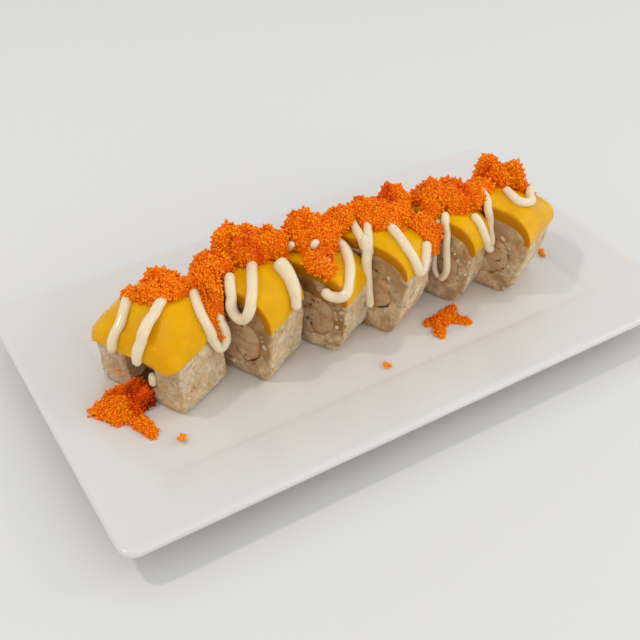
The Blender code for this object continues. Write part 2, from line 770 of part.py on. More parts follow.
def block_mesh(piece, number, grow):
    """A piece's whole outer form, grown a little, to cut the roe by."""
    half = piece["length"] / 2
    reach = half + 2 * grow
    stations = [(-reach, 1.0), *((half * part, 1.0) for part in STATIONS), (reach, 1.0)]
    bulge = END_BULGE[number - 1]
    side = -1 if number == 1 else 1
    flap = []
    for turn in (30, 60, 90):
        turn = math.radians(turn)
        flap.append((side * (reach + bulge * math.sin(turn)), math.cos(turn)))
    if bulge and side < 0:
        stations = flap[::-1] + stations
    elif bulge:
        stations += flap
    rings = []
    for along, share in stations:
        held = min(max(along, -half), half)
        under = -2.0 if share == 1.0 else piece["belt"] - 3 * grow
        wide = piece["wide"] + grow
        ring = [(piece["lean"] + wide, under), (piece["lean"] - wide, under)]
        line = []
        for step in range(41):
            across, height = shell_point(piece, number, held, 180.0 * step / 40, -grow, -grow)
            line.append((across, piece["belt"] + grow + (height - piece["belt"]) * share))
        ring += spaced(line, 10)
        rings.append([Vector((along, *point)) * MM for point in ring])
    return grid_mesh("block", rings, False)


def wall_mesh():
    """A thin upright sheet across the row, to part one heap from the next."""
    shape = bmesh.new()
    bmesh.ops.create_cube(shape, size=1.0)
    bmesh.ops.transform(shape, matrix=Matrix.Diagonal((GAP, 120 * MM, 140 * MM, 1)), verts=shape.verts)
    mesh = bpy.data.meshes.new("wall")
    shape.to_mesh(mesh)
    shape.free()
    return mesh


def make_roe(strands):
    """The heaps of roe on the roll, the spilled pile and the small star beside it."""
    group = new_group("blocks")
    for number, piece in enumerate(PIECES, 1):
        block = bpy.data.objects.new("block", block_mesh(piece, number, 0.45))
        block.matrix_world = place_of(piece)
        group.objects.link(block)
    for radius, path in strands:
        ends = [path[0] * 2 - path[1], path[-1] * 2 - path[-2]]
        room = [path[0].lerp(ends[0], 0.4), *path[1:-1], path[-1].lerp(ends[1], 0.4)]
        tube("room", room, radius + 2 * GAP, group)
    for place in HEAP_ENDS:
        wall = bpy.data.objects.new("wall", wall_mesh())
        wall.matrix_world = Matrix.Translation((place * MM, 0, 50 * MM))
        group.objects.link(wall)
    for index, mounds in enumerate(HEAPS, 1):
        heap = heap_solid("roe_%d" % index, mounds, roof, ROE_SUNK * MM, index * 2.7)
        scatter_grains(heap, roof, index, 1.0 * MM)
        combine(heap, group, "DIFFERENCE")
        keep_largest(heap)
    for name, mounds in (("roe_spill", SPILL), ("roe_star", STAR)):
        heap = heap_solid(name, mounds, lambda x, y: plate_top(x, y) + GAP, 0.0, len(name))
        scatter_grains(heap, plate_top, len(name), 1.6 * MM)
        combine(heap, group, "DIFFERENCE")
        keep_largest(heap)
    drop_group(group)


make_plate()
for number, piece in enumerate(PIECES, 1):
    make_rice(piece, number)
    make_nori(piece, number)
    make_filling(piece, number)
    make_fruit(piece, number)
make_roe(add_sauce())
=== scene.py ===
# %% [markdown]
# # A fruit-topped uramaki roll on its plate
#
# The object is one inside-out roll of sushi, cut in six pieces and served on an oblong
# white plate. Each piece is rice round a sheet of nori round fried shrimp. A slab of ripe
# yellow fruit lies over it, then strands of mayonnaise and heaps of orange roe.
#
# The solids already give the sizes. This lesson gives each of them its real surface.

import math
import random

import bmesh
import bpy
from mathutils import Matrix, Vector, noise
from mathutils.bvhtree import BVHTree


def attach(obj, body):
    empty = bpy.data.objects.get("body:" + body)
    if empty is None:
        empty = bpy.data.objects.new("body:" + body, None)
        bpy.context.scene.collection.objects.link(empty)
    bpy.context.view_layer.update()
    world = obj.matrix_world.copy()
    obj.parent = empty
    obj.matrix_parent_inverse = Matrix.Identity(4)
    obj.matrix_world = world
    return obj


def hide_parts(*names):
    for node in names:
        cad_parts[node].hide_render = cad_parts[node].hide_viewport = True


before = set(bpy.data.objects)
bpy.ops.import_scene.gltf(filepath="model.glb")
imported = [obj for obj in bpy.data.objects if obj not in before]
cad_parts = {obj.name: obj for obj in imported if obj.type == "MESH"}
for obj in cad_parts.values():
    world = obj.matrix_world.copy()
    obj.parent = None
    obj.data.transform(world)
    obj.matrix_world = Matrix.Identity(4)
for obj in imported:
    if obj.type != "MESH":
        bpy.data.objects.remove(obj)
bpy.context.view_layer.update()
MM = 0.001


def placed(name, data):
    """An object in the scene, of a mesh, a lamp or a camera."""
    made = bpy.data.objects.new(name, data)
    bpy.context.scene.collection.objects.link(made)
    return made


# %% [markdown]
# ## The camera
#
# The photograph looks down at the plate from its front left corner. A camera is easiest
# to repeat from its matrix: the columns are its right, its up and its back, then its place.

# %% The camera
RIGHT = (0.85306, -0.52177, 0.00679)
UP = (0.33355, 0.55524, 0.76187)
BACK = (-0.40129, -0.64766, 0.64769)
EYE = (-0.2041, -0.3094, 0.3237)
LENS = 55.25

lens = bpy.data.cameras.new("camera")
lens.sensor_width = 36
lens.lens = LENS
camera = placed("camera", lens)
aim = Matrix((RIGHT, UP, BACK)).transposed().to_4x4()
aim.translation = EYE
camera.matrix_world = aim
bpy.context.scene.camera = camera
print("camera", round(Vector(EYE).length, 3), "m from the middle of the plate")

# %% [markdown]
# ## Colours and materials
#
# Colours are written as they look on a screen, in sRGB, and Blender works with linear
# light, so one function turns them. A Finish is a material with a short method for each
# kind of node, so each recipe further down reads as a few lines.


# %% Colour and node helpers
def linear(code):
    """An sRGB hex colour as linear red, green, blue and alpha."""
    parts = [int(code[step:step + 2], 16) / 255 for step in (0, 2, 4)]
    bent = [part / 12.92 if part <= 0.04045 else ((part + 0.055) / 1.055) ** 2.4 for part in parts]
    return (*bent, 1.0)


def set_inputs(tree, node, inputs):
    """Gives each input of a node a value or another node's output."""
    for key, value in inputs.items():
        if isinstance(value, bpy.types.NodeSocket):
            tree.links.new(value, node.inputs[key])
        else:
            node.inputs[key].default_value = value


def add_node(tree, kind, inputs=None, **settings):
    """Adds a node with its settings and its inputs."""
    made = tree.nodes.new(kind)
    for name, value in settings.items():
        setattr(made, name, value)
    set_inputs(tree, made, inputs or {})
    return made


MIX_FACTOR, MIX_FIRST, MIX_SECOND, MIX_RESULT = 0, 6, 7, 2


class Finish:
    """A material with one short method for each kind of node."""

    def __init__(self, name):
        self.material = bpy.data.materials.new(name)
        self.material.use_nodes = True
        self.tree = self.material.node_tree

    def noise(self, scale, detail, **more):
        """Noise on the object's own coordinates."""
        place = add_node(self.tree, "ShaderNodeTexCoord").outputs["Object"]
        inputs = {"Vector": place, "Scale": scale, "Detail": detail, **more}
        return add_node(self.tree, "ShaderNodeTexNoise", inputs).outputs["Fac"]

    def attribute(self, name):
        """A number that the mesh keeps at its corners."""
        return add_node(self.tree, "ShaderNodeAttribute", attribute_name=name).outputs["Fac"]

    def math(self, operation, *numbers):
        """A sum on numbers or outputs."""
        made = add_node(self.tree, "ShaderNodeMath", dict(enumerate(numbers)), operation=operation)
        return made.outputs[0]

    def ramp(self, value, low, high, start=0.0, end=1.0):
        """A value stretched so that low gives start and high gives end."""
        inputs = {"Value": value, "From Min": low, "From Max": high, "To Min": start, "To Max": end}
        return add_node(self.tree, "ShaderNodeMapRange", inputs).outputs["Result"]

    def mix(self, factor, first, second):
        """Two colours mixed. Each is a hex code or an output."""
        first, second = (linear(paint) if isinstance(paint, str) else paint for paint in (first, second))
        inputs = {MIX_FACTOR: factor, MIX_FIRST: first, MIX_SECOND: second}
        return add_node(self.tree, "ShaderNodeMix", inputs, data_type="RGBA").outputs[MIX_RESULT]

    def bump(self, height, strength, distance, **more):
        """Normals bent by a height, over a distance in metres."""
        inputs = {"Height": height, "Strength": strength, "Distance": distance, **more}
        return add_node(self.tree, "ShaderNodeBump", inputs).outputs["Normal"]

    def done(self, inputs, sinks=None):
        """The finished material. sinks is the share of light that sinks in, and how far
        its red, green and blue travel inside, in metres."""
        if sinks:
            share, reach = sinks
            inputs = {
                **inputs, "Subsurface Weight": share, "Subsurface Radius": reach, "Subsurface Scale": 1.0}
        set_inputs(self.tree, self.tree.nodes["Principled BSDF"], inputs)
        return self.material


# %% [markdown]
# ## Floor and light
#
# The plate stands on a plain, pale floor under a broad, soft light from above and behind.
# A bright sky gives most of it. A small lamp behind makes the wet highlights, and two
# weak ones from the right and the front open the shade.

# %% The floor and the lights
paint = Finish("pale matt floor").done({"Base Color": linear("DEDDD9"), "Roughness": 0.6})
sheet = bmesh.new()
bmesh.ops.create_grid(sheet, x_segments=1, y_segments=1, size=2.5)
floor_mesh = bpy.data.meshes.new("floor")
sheet.to_mesh(floor_mesh)
sheet.free()
floor_mesh.materials.append(paint)
floor = placed("floor", floor_mesh)

LAMPS = (
    ("window", (-0.6, 0.22, 1.1), 0.08, 2.6, "FFF8EE"),
    ("right", (0.9, -0.35, 0.6), 0.4, 1.6, "FFFFFF"),
    ("front", (0.3, -0.95, 0.4), 0.8, 1.8, "FFFFFF"),
)
for name, spot, size, power, tint in LAMPS:
    lamp = bpy.data.lights.new(name, "AREA")
    lamp.size = size
    lamp.energy = power
    lamp.color = linear(tint)[:3]
    holder = placed(name, lamp)
    holder.location = spot
    holder.rotation_euler = Vector(spot).to_track_quat("Z", "Y").to_euler()

sky = bpy.data.worlds.new("sky")
sky.use_nodes = True
set_inputs(sky.node_tree, sky.node_tree.nodes["Background"], {"Color": linear("F2F4F8"), "Strength": 0.88})
bpy.context.scene.world = sky

# The food's yellows and oranges are strong, and the default film-like view greys them.
bpy.context.scene.view_settings.view_transform = "Standard"
print("lamps:", len(LAMPS))

# %% [markdown]
# ## The sizes of the roll
#
# Each piece has a frame of its own: X along the roll's axis, Y across it, Z up from the
# plate. The numbers are the piece's corner on the plate, its turn, its length, half its
# width at the foot and at the fruit's lower edge, and the heights of that edge and the
# crown. lean is the crown's shift, and lift is how far the fruit's front edge climbs.
# bulge is how far the fruit's fold stands out at an end of the roll: below 0 at its left.

# %% The pieces
PLATE_LONG = 300.0
PLATE_SHORT = 169.3
RIM_WIDTH = 31.5
LIP_TOP = 19.0
RIM_FALL = 3.6
STEP_FALL = 1.0
STEP_WIDTH = 3.0
PLATE_FLOOR = LIP_TOP - RIM_FALL - STEP_FALL
STAND = PLATE_FLOOR + 0.35

NAMES = ("corner", "turn", "length", "base", "wide", "belt", "top", "lean", "lift", "bulge")
PIECES = [dict(zip(NAMES, row)) for row in (
    ((-95.5, -27.8), 26, 30.0, 25.5, 24.0, 26.0, 44.0, 1.5, 28, -5.0),
    ((-54.7, -26.9), 28, 28.0, 23.5, 24.5, 28.5, 47.0, 0.0, 3, 0.0),
    ((-17.7, -25.7), 28, 23.5, 21.0, 24.5, 28.0, 45.0, 0.0, 9, 0.0),
    ((11.2, -28.2), 27, 28.0, 20.5, 25.0, 33.5, 49.0, -1.0, 4, 0.0),
    ((51.8, -24.5), 28, 19.5, 20.0, 25.0, 30.5, 47.0, -1.5, 6, 0.0),
    ((78.2, -31.2), 27, 30.0, 20.0, 25.5, 30.5, 48.0, -2.5, 0, 8.0),
)]
CORES = (
    (9.0, 8.5, 15.5), (18.0, 12.0, 19.0), (17.5, 11.5, 18.0),
    (18.0, 11.0, 23.5), (18.0, 11.0, 20.5), (17.5, 11.0, 20.0),
)
DOME_POWER = 2.5
FOOT_POWER = 12.0
CORE_POWER = 2.6
FRUIT_TOP = 6.0
FRUIT_SIDE = 3.6
FRUIT_OVERHANG = 0.6
END_SINK = 7.0
print("length of the roll:", sum(piece["length"] for piece in PIECES), "mm")


# %% Curves and sections
def smoothstep(value, low, high):
    """0 below low, 1 above high and an even curve between."""
    part = min(max((value - low) / (high - low), 0.0), 1.0)
    return part * part * (3 - 2 * part)


def signed_power(value, power):
    """The power of a number that keeps its sign."""
    return math.copysign(abs(value) ** power, value)


def spaced(points, count):
    """count + 1 points at even steps along an open line of 2-D points."""
    lengths = [0.0]
    for first, second in zip(points, points[1:]):
        lengths.append(lengths[-1] + math.dist(first, second))
    result = []
    place = 0
    for step in range(count + 1):
        goal = lengths[-1] * step / count
        while place < len(lengths) - 2 and lengths[place + 1] < goal:
            place += 1
        span = lengths[place + 1] - lengths[place]
        part = min((goal - lengths[place]) / span, 1.0) if span > 0 else 0.0
        result.append(tuple(a + (b - a) * part for a, b in zip(points[place], points[place + 1])))
    return result


def through(points, step):
    """Points at about even steps on a smooth curve through the given ones."""
    ends = [points[0] * 2 - points[1], *points, points[-1] * 2 - points[-2]]
    curve = []
    for before, first, second, after in zip(ends, ends[1:], ends[2:], ends[3:]):
        count = max(round((second - first).length / step), 1)
        for index in range(count):
            part = index / count
            curve.append(0.5 * (
                2 * first + (second - before) * part
                + (2 * before - 5 * first + 4 * second - after) * part ** 2
                + (3 * first - before - 3 * second + after) * part ** 3))
    curve.append(points[-1])
    return curve


def place_of(piece):
    """The matrix from a piece's own frame, in metres, to the plate's."""
    turn = Matrix.Rotation(math.radians(piece["turn"]), 4, "Z")
    corner = Vector((*piece["corner"], STAND)) * MM
    return Matrix.Translation(corner + turn @ Vector((piece["length"] / 2, piece["base"], 0)) * MM) @ turn


for piece in PIECES:
    piece["half"] = piece["length"] / 2
    piece["place"] = place_of(piece)
    piece["back"] = piece["place"].inverted()


def crown(piece, along):
    """The height of the roll's crown at a place along the piece."""
    half = piece["half"]
    edge_round = 1.2 * (abs(along) / half) ** 4
    if not piece["bulge"]:
        return piece["top"] - edge_round
    end = along * math.copysign(1, piece["bulge"])
    return piece["top"] - edge_round - END_SINK * smoothstep(end, -0.2 * half, 1.3 * half)


def shell_point(piece, along, angle, inset_top=0.0, inset_side=0.0):
    """A point of the dome: angle 0 is the front edge and 180 the back edge."""
    turn = math.radians(angle)
    wide = piece["wide"] - inset_side
    rise = crown(piece, along) - inset_top - piece["belt"]
    across = -wide * signed_power(math.cos(turn), 2 / DOME_POWER) + piece["lean"]
    return across, piece["belt"] + rise * max(math.sin(turn), 0.0) ** (2 / DOME_POWER)


def low_line(piece, inset):
    """The side and foot of a section, from the back belt under it to the front belt."""
    line = []
    for step in range(121):
        angle = math.radians(-180.0 * step / 120)
        sink = max(-math.sin(angle), 0.0) ** (2 / FOOT_POWER)
        half = piece["wide"] - inset + (piece["base"] - piece["wide"]) * sink ** 2
        across = half * signed_power(math.cos(angle), 2 / FOOT_POWER) + piece["lean"] * (1 - sink)
        line.append((across, piece["belt"] * (1 - sink)))
    return line


def core_point(number, angle, grow):
    """A point of the oval outline round the filling."""
    half_wide, half_high, middle = CORES[number - 1]
    return (
        (half_wide + grow) * signed_power(math.cos(angle), 2 / CORE_POWER),
        middle + (half_high + grow) * signed_power(math.sin(angle), 2 / CORE_POWER))


def oval_measure(number, across, height, grow=0.0):
    """Under 1 inside the filling's outline, 1 on it and over 1 outside."""
    half_wide, half_high, middle = CORES[number - 1]
    side = (abs(across) / (half_wide + grow)) ** CORE_POWER
    return side + (abs(height - middle) / (half_high + grow)) ** CORE_POWER


def facing_angle(number, across, height):
    """The angle at which a point of the section looks at the filling's outline."""
    half_wide, half_high, middle = CORES[number - 1]
    return math.atan2((height - middle) / half_high, across / half_wide)


# %% [markdown]
# ## Keeping a finished piece
#
# A finished object sits at the origin, because its mesh is built in place from rings of
# points. add_piece lets it ride on the plate's body and hides the solids it stands for.


# %% Helpers for meshes
def joined_rows(shape, rings, place, closed_rows=False):
    """Rows of corners from rings of points in millimetres, joined by quads."""
    rows = [[shape.verts.new(place @ (Vector(point) * MM)) for point in ring] for ring in rings]
    pairs = list(zip(rows, rows[1:]))
    if closed_rows:
        pairs.append((rows[-1], rows[0]))
    for first, second in pairs:
        for step in range(len(first)):
            after = (step + 1) % len(first)
            shape.faces.new((first[step], first[after], second[after], second[step]))
    return rows


def shaped(name, rings, closed_rows, place=Matrix.Identity(4)):
    """A mesh of rings. They close on each other where closed_rows is set, and otherwise
    each end gets a fan."""
    shape = bmesh.new()
    rows = joined_rows(shape, rings, place, closed_rows)
    if not closed_rows:
        for ring in (rows[0], rows[-1]):
            middle = shape.verts.new(sum((corner.co for corner in ring), Vector()) / len(ring))
            for step, corner in enumerate(ring):
                shape.faces.new((corner, ring[(step + 1) % len(ring)], middle))
    return closed_mesh(name, shape)


def closed_mesh(name, shape):
    """A bmesh as a smooth mesh whose faces point outwards."""
    bmesh.ops.remove_doubles(shape, verts=shape.verts, dist=0.01 * MM)
    bmesh.ops.recalc_face_normals(shape, faces=shape.faces)
    mesh = bpy.data.meshes.new(name)
    shape.to_mesh(mesh)
    shape.free()
    mesh.shade_smooth()
    return mesh


def add_piece(name, mesh, finish, slot, *nodes):
    """An object of one mesh that rides on the plate and stands for its solids."""
    mesh.materials.clear()
    mesh.materials.append(finish)
    made = placed(name, mesh)
    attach(made, "root")
    if nodes:
        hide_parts(*nodes)
    return made


def evaluated(holder):
    """The mesh that an object's modifiers make. The object goes."""
    graph = bpy.context.evaluated_depsgraph_get()
    result = bpy.data.meshes.new_from_object(holder.evaluated_get(graph))
    bpy.data.objects.remove(holder)
    return result


def modified(mesh, kind, **settings):
    """The mesh that one modifier makes of another one."""
    holder = placed("work", mesh)
    work = holder.modifiers.new(kind, kind)
    for name, value in settings.items():
        setattr(work, name, value)
    return evaluated(holder)


def roughened(mesh, waves):
    """Moves each corner along its normal by noise. waves are pairs of size and height."""
    normals = [corner.normal.copy() for corner in mesh.vertices]
    for corner, normal in zip(mesh.vertices, normals):
        push = sum(noise.noise(corner.co / (size * MM)) * height for size, height in waves)
        corner.co += normal * push * MM
    mesh.update()
    return mesh


def marked(mesh, name, value_at):
    """A mesh whose corners keep a number, given by a function of their place."""
    mark = mesh.attributes.new(name, "FLOAT", "POINT")
    for index, corner in enumerate(mesh.vertices):
        mark.data[index].value = value_at(corner.co)
    return mesh


# %% [markdown]
# ## Geometry Nodes trees
#
# Rice and roe repeat one small form hundreds of times, so a tree scatters it over a core.
# Another tree gives the sauce its round body. Each one's sizes are named inputs, and what
# it makes is real geometry at the end.


# %% Helpers for trees
def new_tree(name, inputs):
    """A Geometry Nodes tree with named number inputs, and its start and end nodes."""
    tree = bpy.data.node_groups.new(name, "GeometryNodeTree")
    tree.interface.new_socket("Geometry", in_out="INPUT", socket_type="NodeSocketGeometry")
    for label, value in inputs.items():
        kind = "NodeSocketInt" if isinstance(value, int) else "NodeSocketFloat"
        tree.interface.new_socket(label, in_out="INPUT", socket_type=kind).default_value = value
    tree.interface.new_socket("Geometry", in_out="OUTPUT", socket_type="NodeSocketGeometry")
    return tree, tree.nodes.new("NodeGroupInput").outputs, tree.nodes.new("NodeGroupOutput").inputs


def product(tree, first, second):
    """Two numbers or outputs multiplied."""
    return add_node(tree, "ShaderNodeMath", {0: first, 1: second}, operation="MULTIPLY").outputs[0]


def drawn(tree, given, low, high):
    """A random number for each point, with the tree's seed."""
    inputs = {2: low, 3: high, "Seed": given["Seed"]}
    return add_node(tree, "FunctionNodeRandomValue", inputs, data_type="FLOAT").outputs[1]


def scattered(tree, given, choice, form, size, rise, tones, tilt=None):
    """Copies of a form on a core's faces, as real geometry. choice says how close and on
    which faces, rise how far a copy stands off, and tones and tilt give random ranges."""
    seed = given["Seed"]
    spots = add_node(
        tree, "GeometryNodeDistributePointsOnFaces", {"Mesh": given["Geometry"], "Seed": seed, **choice},
        distribute_method="POISSON").outputs
    way = spots["Rotation"]
    if tilt:
        inputs = {0: tilt[0], 1: tilt[1], "Seed": seed}
        turn = add_node(tree, "FunctionNodeRandomValue", inputs, data_type="FLOAT_VECTOR").outputs[0]
        way = add_node(
            tree, "FunctionNodeRotateRotation", {0: way, 1: turn}, rotation_space="LOCAL").outputs[0]
    push = add_node(tree, "ShaderNodeVectorMath", {0: spots["Normal"], 3: rise}, operation="SCALE")
    moved = add_node(tree, "GeometryNodeSetPosition", {
        "Geometry": spots["Points"], "Offset": push.outputs[0]})
    laid = add_node(tree, "GeometryNodeInstanceOnPoints", {
        "Points": moved.outputs[0], "Instance": form, "Rotation": way, "Scale": size})
    toned = add_node(tree, "GeometryNodeStoreNamedAttribute", {
        "Geometry": laid.outputs[0], "Name": "tone", "Value": drawn(tree, given, *tones)},
        data_type="FLOAT", domain="INSTANCE")
    return add_node(tree, "GeometryNodeRealizeInstances", {"Geometry": toned.outputs[0]}).outputs[0]


def ended(tree, parts, finish, result):
    """Ends a tree: its parts joined, smooth and of one material."""
    both = add_node(tree, "GeometryNodeJoinGeometry")
    for part in parts:
        tree.links.new(part, both.inputs[0])
    smooth = add_node(tree, "GeometryNodeSetShadeSmooth", {"Geometry": both.outputs[0]})
    dressed = add_node(tree, "GeometryNodeSetMaterial", {"Geometry": smooth.outputs[0], "Material": finish})
    tree.links.new(dressed.outputs[0], result[0])
    return tree


def grown(mesh, tree, values):
    """The plain mesh that a tree makes of a core mesh."""
    holder = placed("core", mesh)
    work = holder.modifiers.new(tree.name, "NODES")
    work.node_group = tree
    for item in tree.interface.items_tree:
        if item.in_out == "INPUT" and item.name in values:
            work[item.identifier] = values[item.name]
    return evaluated(holder)


def triangles(mesh):
    """How many triangles a mesh has."""
    return sum(len(face.vertices) - 2 for face in mesh.polygons)


# %% [markdown]
# ## The plate
#
# The plate is pressed porcelain under a clear glaze. Its edges are soft because a glaze
# draws back from them. A profile is lofted round a rounded oblong, and the corners of the
# profile are cut twice, which rounds them.

# %% Glazed porcelain
# Porcelain is a warm white body under clear glass. The glaze pools a little, so the
# gloss bends over hollows about 25 mm wide.
glaze = Finish("glazed porcelain")
pool = glaze.noise(40.0, 1.0)
porcelain = glaze.done({
    "Base Color": glaze.mix(pool, "DAD5CE", "DED9D3"), "Normal": glaze.bump(pool, 0.12, 0.0006),
    "Roughness": 0.16, "IOR": 1.5})


# %% The plate's loft
def oblong(inset, height):
    """A rounded oblong, inset from the plate's outer edge."""
    radius = max(7.0 - inset * 0.1, 3.0)
    middle_x = PLATE_LONG / 2 - inset - radius
    middle_y = PLATE_SHORT / 2 - inset - radius
    ring = []
    for side, (sx, sy) in enumerate(((1, 1), (-1, 1), (-1, -1), (1, -1))):
        for step in range(13):
            angle = math.radians(90 * side + 7.5 * step)
            x = sx * middle_x + radius * math.cos(angle)
            y = sy * middle_y + radius * math.sin(angle)
            ring.append((x, y, height))
    return ring


def softened(line, times):
    """A line with its corners cut, which rounds them."""
    for _ in range(times):
        cut = [line[0]]
        for (a, b), (c, d) in zip(line, line[1:]):
            near = min(0.25, 1.6 / max(math.dist((a, b), (c, d)), 0.01))
            cut.append((a + (c - a) * near, b + (d - b) * near))
            cut.append((c - (c - a) * near, d - (d - b) * near))
        line = cut + [line[-1]]
    return line


UNDER = PLATE_FLOOR - 4.6
PROFILE = (
    (50.0, 2.0), (49.0, 0.0), (44.0, 0.0), (42.5, 3.0), (RIM_WIDTH, UNDER - 0.5), (4.0, LIP_TOP - 4.6),
    (1.0, LIP_TOP - 4.2), (-0.1, LIP_TOP - 2.3), (0.4, LIP_TOP - 0.4), (2.4, LIP_TOP + 0.1),
    (5.5, LIP_TOP - 0.4), (RIM_WIDTH - 1.5, LIP_TOP - RIM_FALL), (RIM_WIDTH + 0.6, LIP_TOP - RIM_FALL - 0.4),
    (RIM_WIDTH + STEP_WIDTH, PLATE_FLOOR), (RIM_WIDTH + STEP_WIDTH + 6, PLATE_FLOOR),
)
plate_mesh = shaped("plate", [oblong(*point) for point in softened(list(PROFILE), 2)], False)
plate = add_piece("glazed_plate", plate_mesh, porcelain, "porcelain", "plate")
print("plate:", triangles(plate_mesh), "triangles")

# %% [markdown]
# ## The rice
#
# Sushi rice is short-grained and sticky. Rolled and pressed, its grains lose their gaps
# and lie flat, so a face of it is a smooth mass with low, random grains. The mass is a
# ring round the filling, and a tree lays single grains on it, sunk almost level.

# %% Pressed sushi rice
# Cooked rice is white starch that light sinks into. Vinegar and the fruit's juice warm
# it, more in some places than in others, and each grain has its own tone. On the cut
# faces that look left, the juice mark is partly a real stain and partly painted shade.
rice = Finish("pressed sushi rice")
mass = rice.mix(rice.ramp(rice.noise(110.0, 3.0), 0.35, 0.7), "E6CCA4", "D2A876")
lit = rice.mix(rice.attribute("tone"), mass, "ECD3B0")
# Painted shade: the juice mark darkens the cut faces that look left, partly as a real stain and partly as
# the shade of the narrow gaps between pieces.
stained_and_shaded = rice.mix(rice.attribute("juice_and_shade"), lit, "905E20")
fold = rice.noise(330.0, 3.0)
spotted = rice.mix(rice.ramp(fold, 0.69, 0.73), stained_and_shaded, "6E4A26")

# Pressed grains meet in soft, smeared lines. Less light comes back from these creases, so their shade is
# painted on as darker lines.
press = rice.noise(230.0, 2.5, Distortion=0.7)
off_line = rice.math("ABSOLUTE", rice.math("SUBTRACT", press, 0.5))
seam_shaded = rice.mix(rice.ramp(off_line, 0.0, 0.09, 0.32, 0.0), spotted, "80602F")
film = rice.bump(rice.noise(900.0, 2.0), 0.25, 0.0003, Normal=rice.bump(fold, 0.5, 0.0007))
rice_finish = rice.done(
    {"Base Color": seam_shaded, "Normal": film, "Roughness": 0.55}, (0.35, (0.0025, 0.0016, 0.0009)))

# %% The tree that lays grains
RICE_INPUTS = {"Grain length": 0.0062, "Grain width": 0.0026, "Spacing": 0.0023, "Sunk": 0.00117, "Seed": 0}


def grain_tree():
    """Lays grains on the faces of a core where its shown attribute is 1."""
    tree, given, result = new_tree("rice grains", RICE_INPUTS)
    shown = add_node(tree, "GeometryNodeInputNamedAttribute", {"Name": "shown"}, data_type="FLOAT")
    choice = {
        "Distance Min": given["Spacing"], "Density Max": 400000.0,
        "Density Factor": shown.outputs["Attribute"]}
    body = add_node(tree, "GeometryNodeMeshUVSphere", {"Segments": 8, "Rings": 6, "Radius": 0.5})
    width = given["Grain width"]
    scale = add_node(tree, "ShaderNodeCombineXYZ", {0: given["Grain length"], 1: width, 2: width})
    grain = add_node(tree, "GeometryNodeTransform", {
        "Geometry": body.outputs["Mesh"], "Scale": scale.outputs[0]})
    real = scattered(
        tree, given, choice, grain.outputs[0], drawn(tree, given, 0.75, 1.1),
        product(tree, given["Sunk"], -1.0), (0.0, 0.5), ((-0.22, -0.3, 0.0), (0.22, 0.3, 6.28)))
    return ended(tree, (given["Geometry"], real), rice_finish, result)


rice_tree = grain_tree()

# %% [markdown]
# The mass itself is lofted through the section of the roll. Its cut ends are rings that
# run in to the filling. The nori shows only in places, so the rice closes over it
# elsewhere: one function decides that for both.

# %% The mass of rice
LOW_STEPS = 72
DOME_STEPS = 40
CLEFT = (0.5, 12.0, 15.5)
SPLIT_DEPTH = 9.0
HIDDEN_NORI = 0.15
SHOWN_NORI = 0.75
MOUTH_DEPTH = 1.6
RICE_WAVES = ((9.0, 0.9), (3.2, 0.45))
# Per piece, the strength of the stain and painted shade on the cut face that looks left.
JUICE_AND_SHADE = (0.15, 0.85, 1.0, 0.75, 0.65, 0.75)

# The stretches in degrees where the nori shows on the faces that look left: 0 is the
# roll's back, 90 its top and 180 its front. On two pieces the rice covers it.
NORI_ARCS = {
    1: ((60, 130),), 2: (), 3: (), 4: ((195, 285),),
    5: ((62, 125), (155, 200), (245, 300)), 6: ((70, 120), (150, 205), (235, 290)),
}


def nori_shows(number, side, angle):
    """1 where the nori's edge shows on a cut face, and 0 where rice covers it."""
    around = Vector((math.cos(angle), math.sin(angle), number * 3.7 + side))
    wave = noise.noise(around * 1.7)
    if side < 0:
        turn = math.degrees(angle) % 360
        inside = max((min(turn - low, high - turn) for low, high in NORI_ARCS[number]), default=-90)
        wave = 0.5 * smoothstep(inside, -8, 8) - 0.25
    return smoothstep(wave + 0.7 * noise.noise(around * 6), 0.08, 0.3)


def rice_outline(piece, along, inset=0.0):
    """The outline of the rice: its side and foot, then its dome under the fruit."""
    low = spaced(low_line(piece, FRUIT_OVERHANG + inset), LOW_STEPS)
    low = [(across, min(max(height, inset), piece["belt"] + 0.6)) for across, height in low]
    dome = [shell_point(piece, along, step * 3, FRUIT_TOP - 0.8 + inset, FRUIT_SIDE - 0.8 + inset)
            for step in range(61)]
    return low + spaced(dome, DOME_STEPS)[1:-1]


def rice_mass(piece, number):
    """The ring of rice, with cut edges that are slightly round."""
    half = piece["half"]
    rings = []
    for part in range(-6, 7):
        rings.append([(half * 0.94 * part / 6, *point) for point in rice_outline(piece, half * part / 6)])
    for side in (1, -1):
        outline = rice_outline(piece, side * half, 0.7)
        rows = []
        for share in (0.0, 0.14, 0.3, 0.46, 0.62, 0.78, 0.9, 1.0):
            row = []
            for across, height in outline:
                angle = facing_angle(number, across, height)
                shows = nori_shows(number, side, angle)
                rim = core_point(number, angle, HIDDEN_NORI + (SHOWN_NORI - HIDDEN_NORI) * shows)
                along = side * (half - (0.1 if share == 1.0 else 0.0))
                row.append((along, across + (rim[0] - across) * share, height + (rim[1] - height) * share))
            rows.append(row)
        rows.append([(side * (half - MOUTH_DEPTH), *core_point(number, facing_angle(number, *point), 1.0))
                     for point in outline])
        rings += rows if side > 0 else rows[::-1]
    mesh = shaped("rice", rings, True, piece["place"])
    return roughened(mesh, RICE_WAVES)


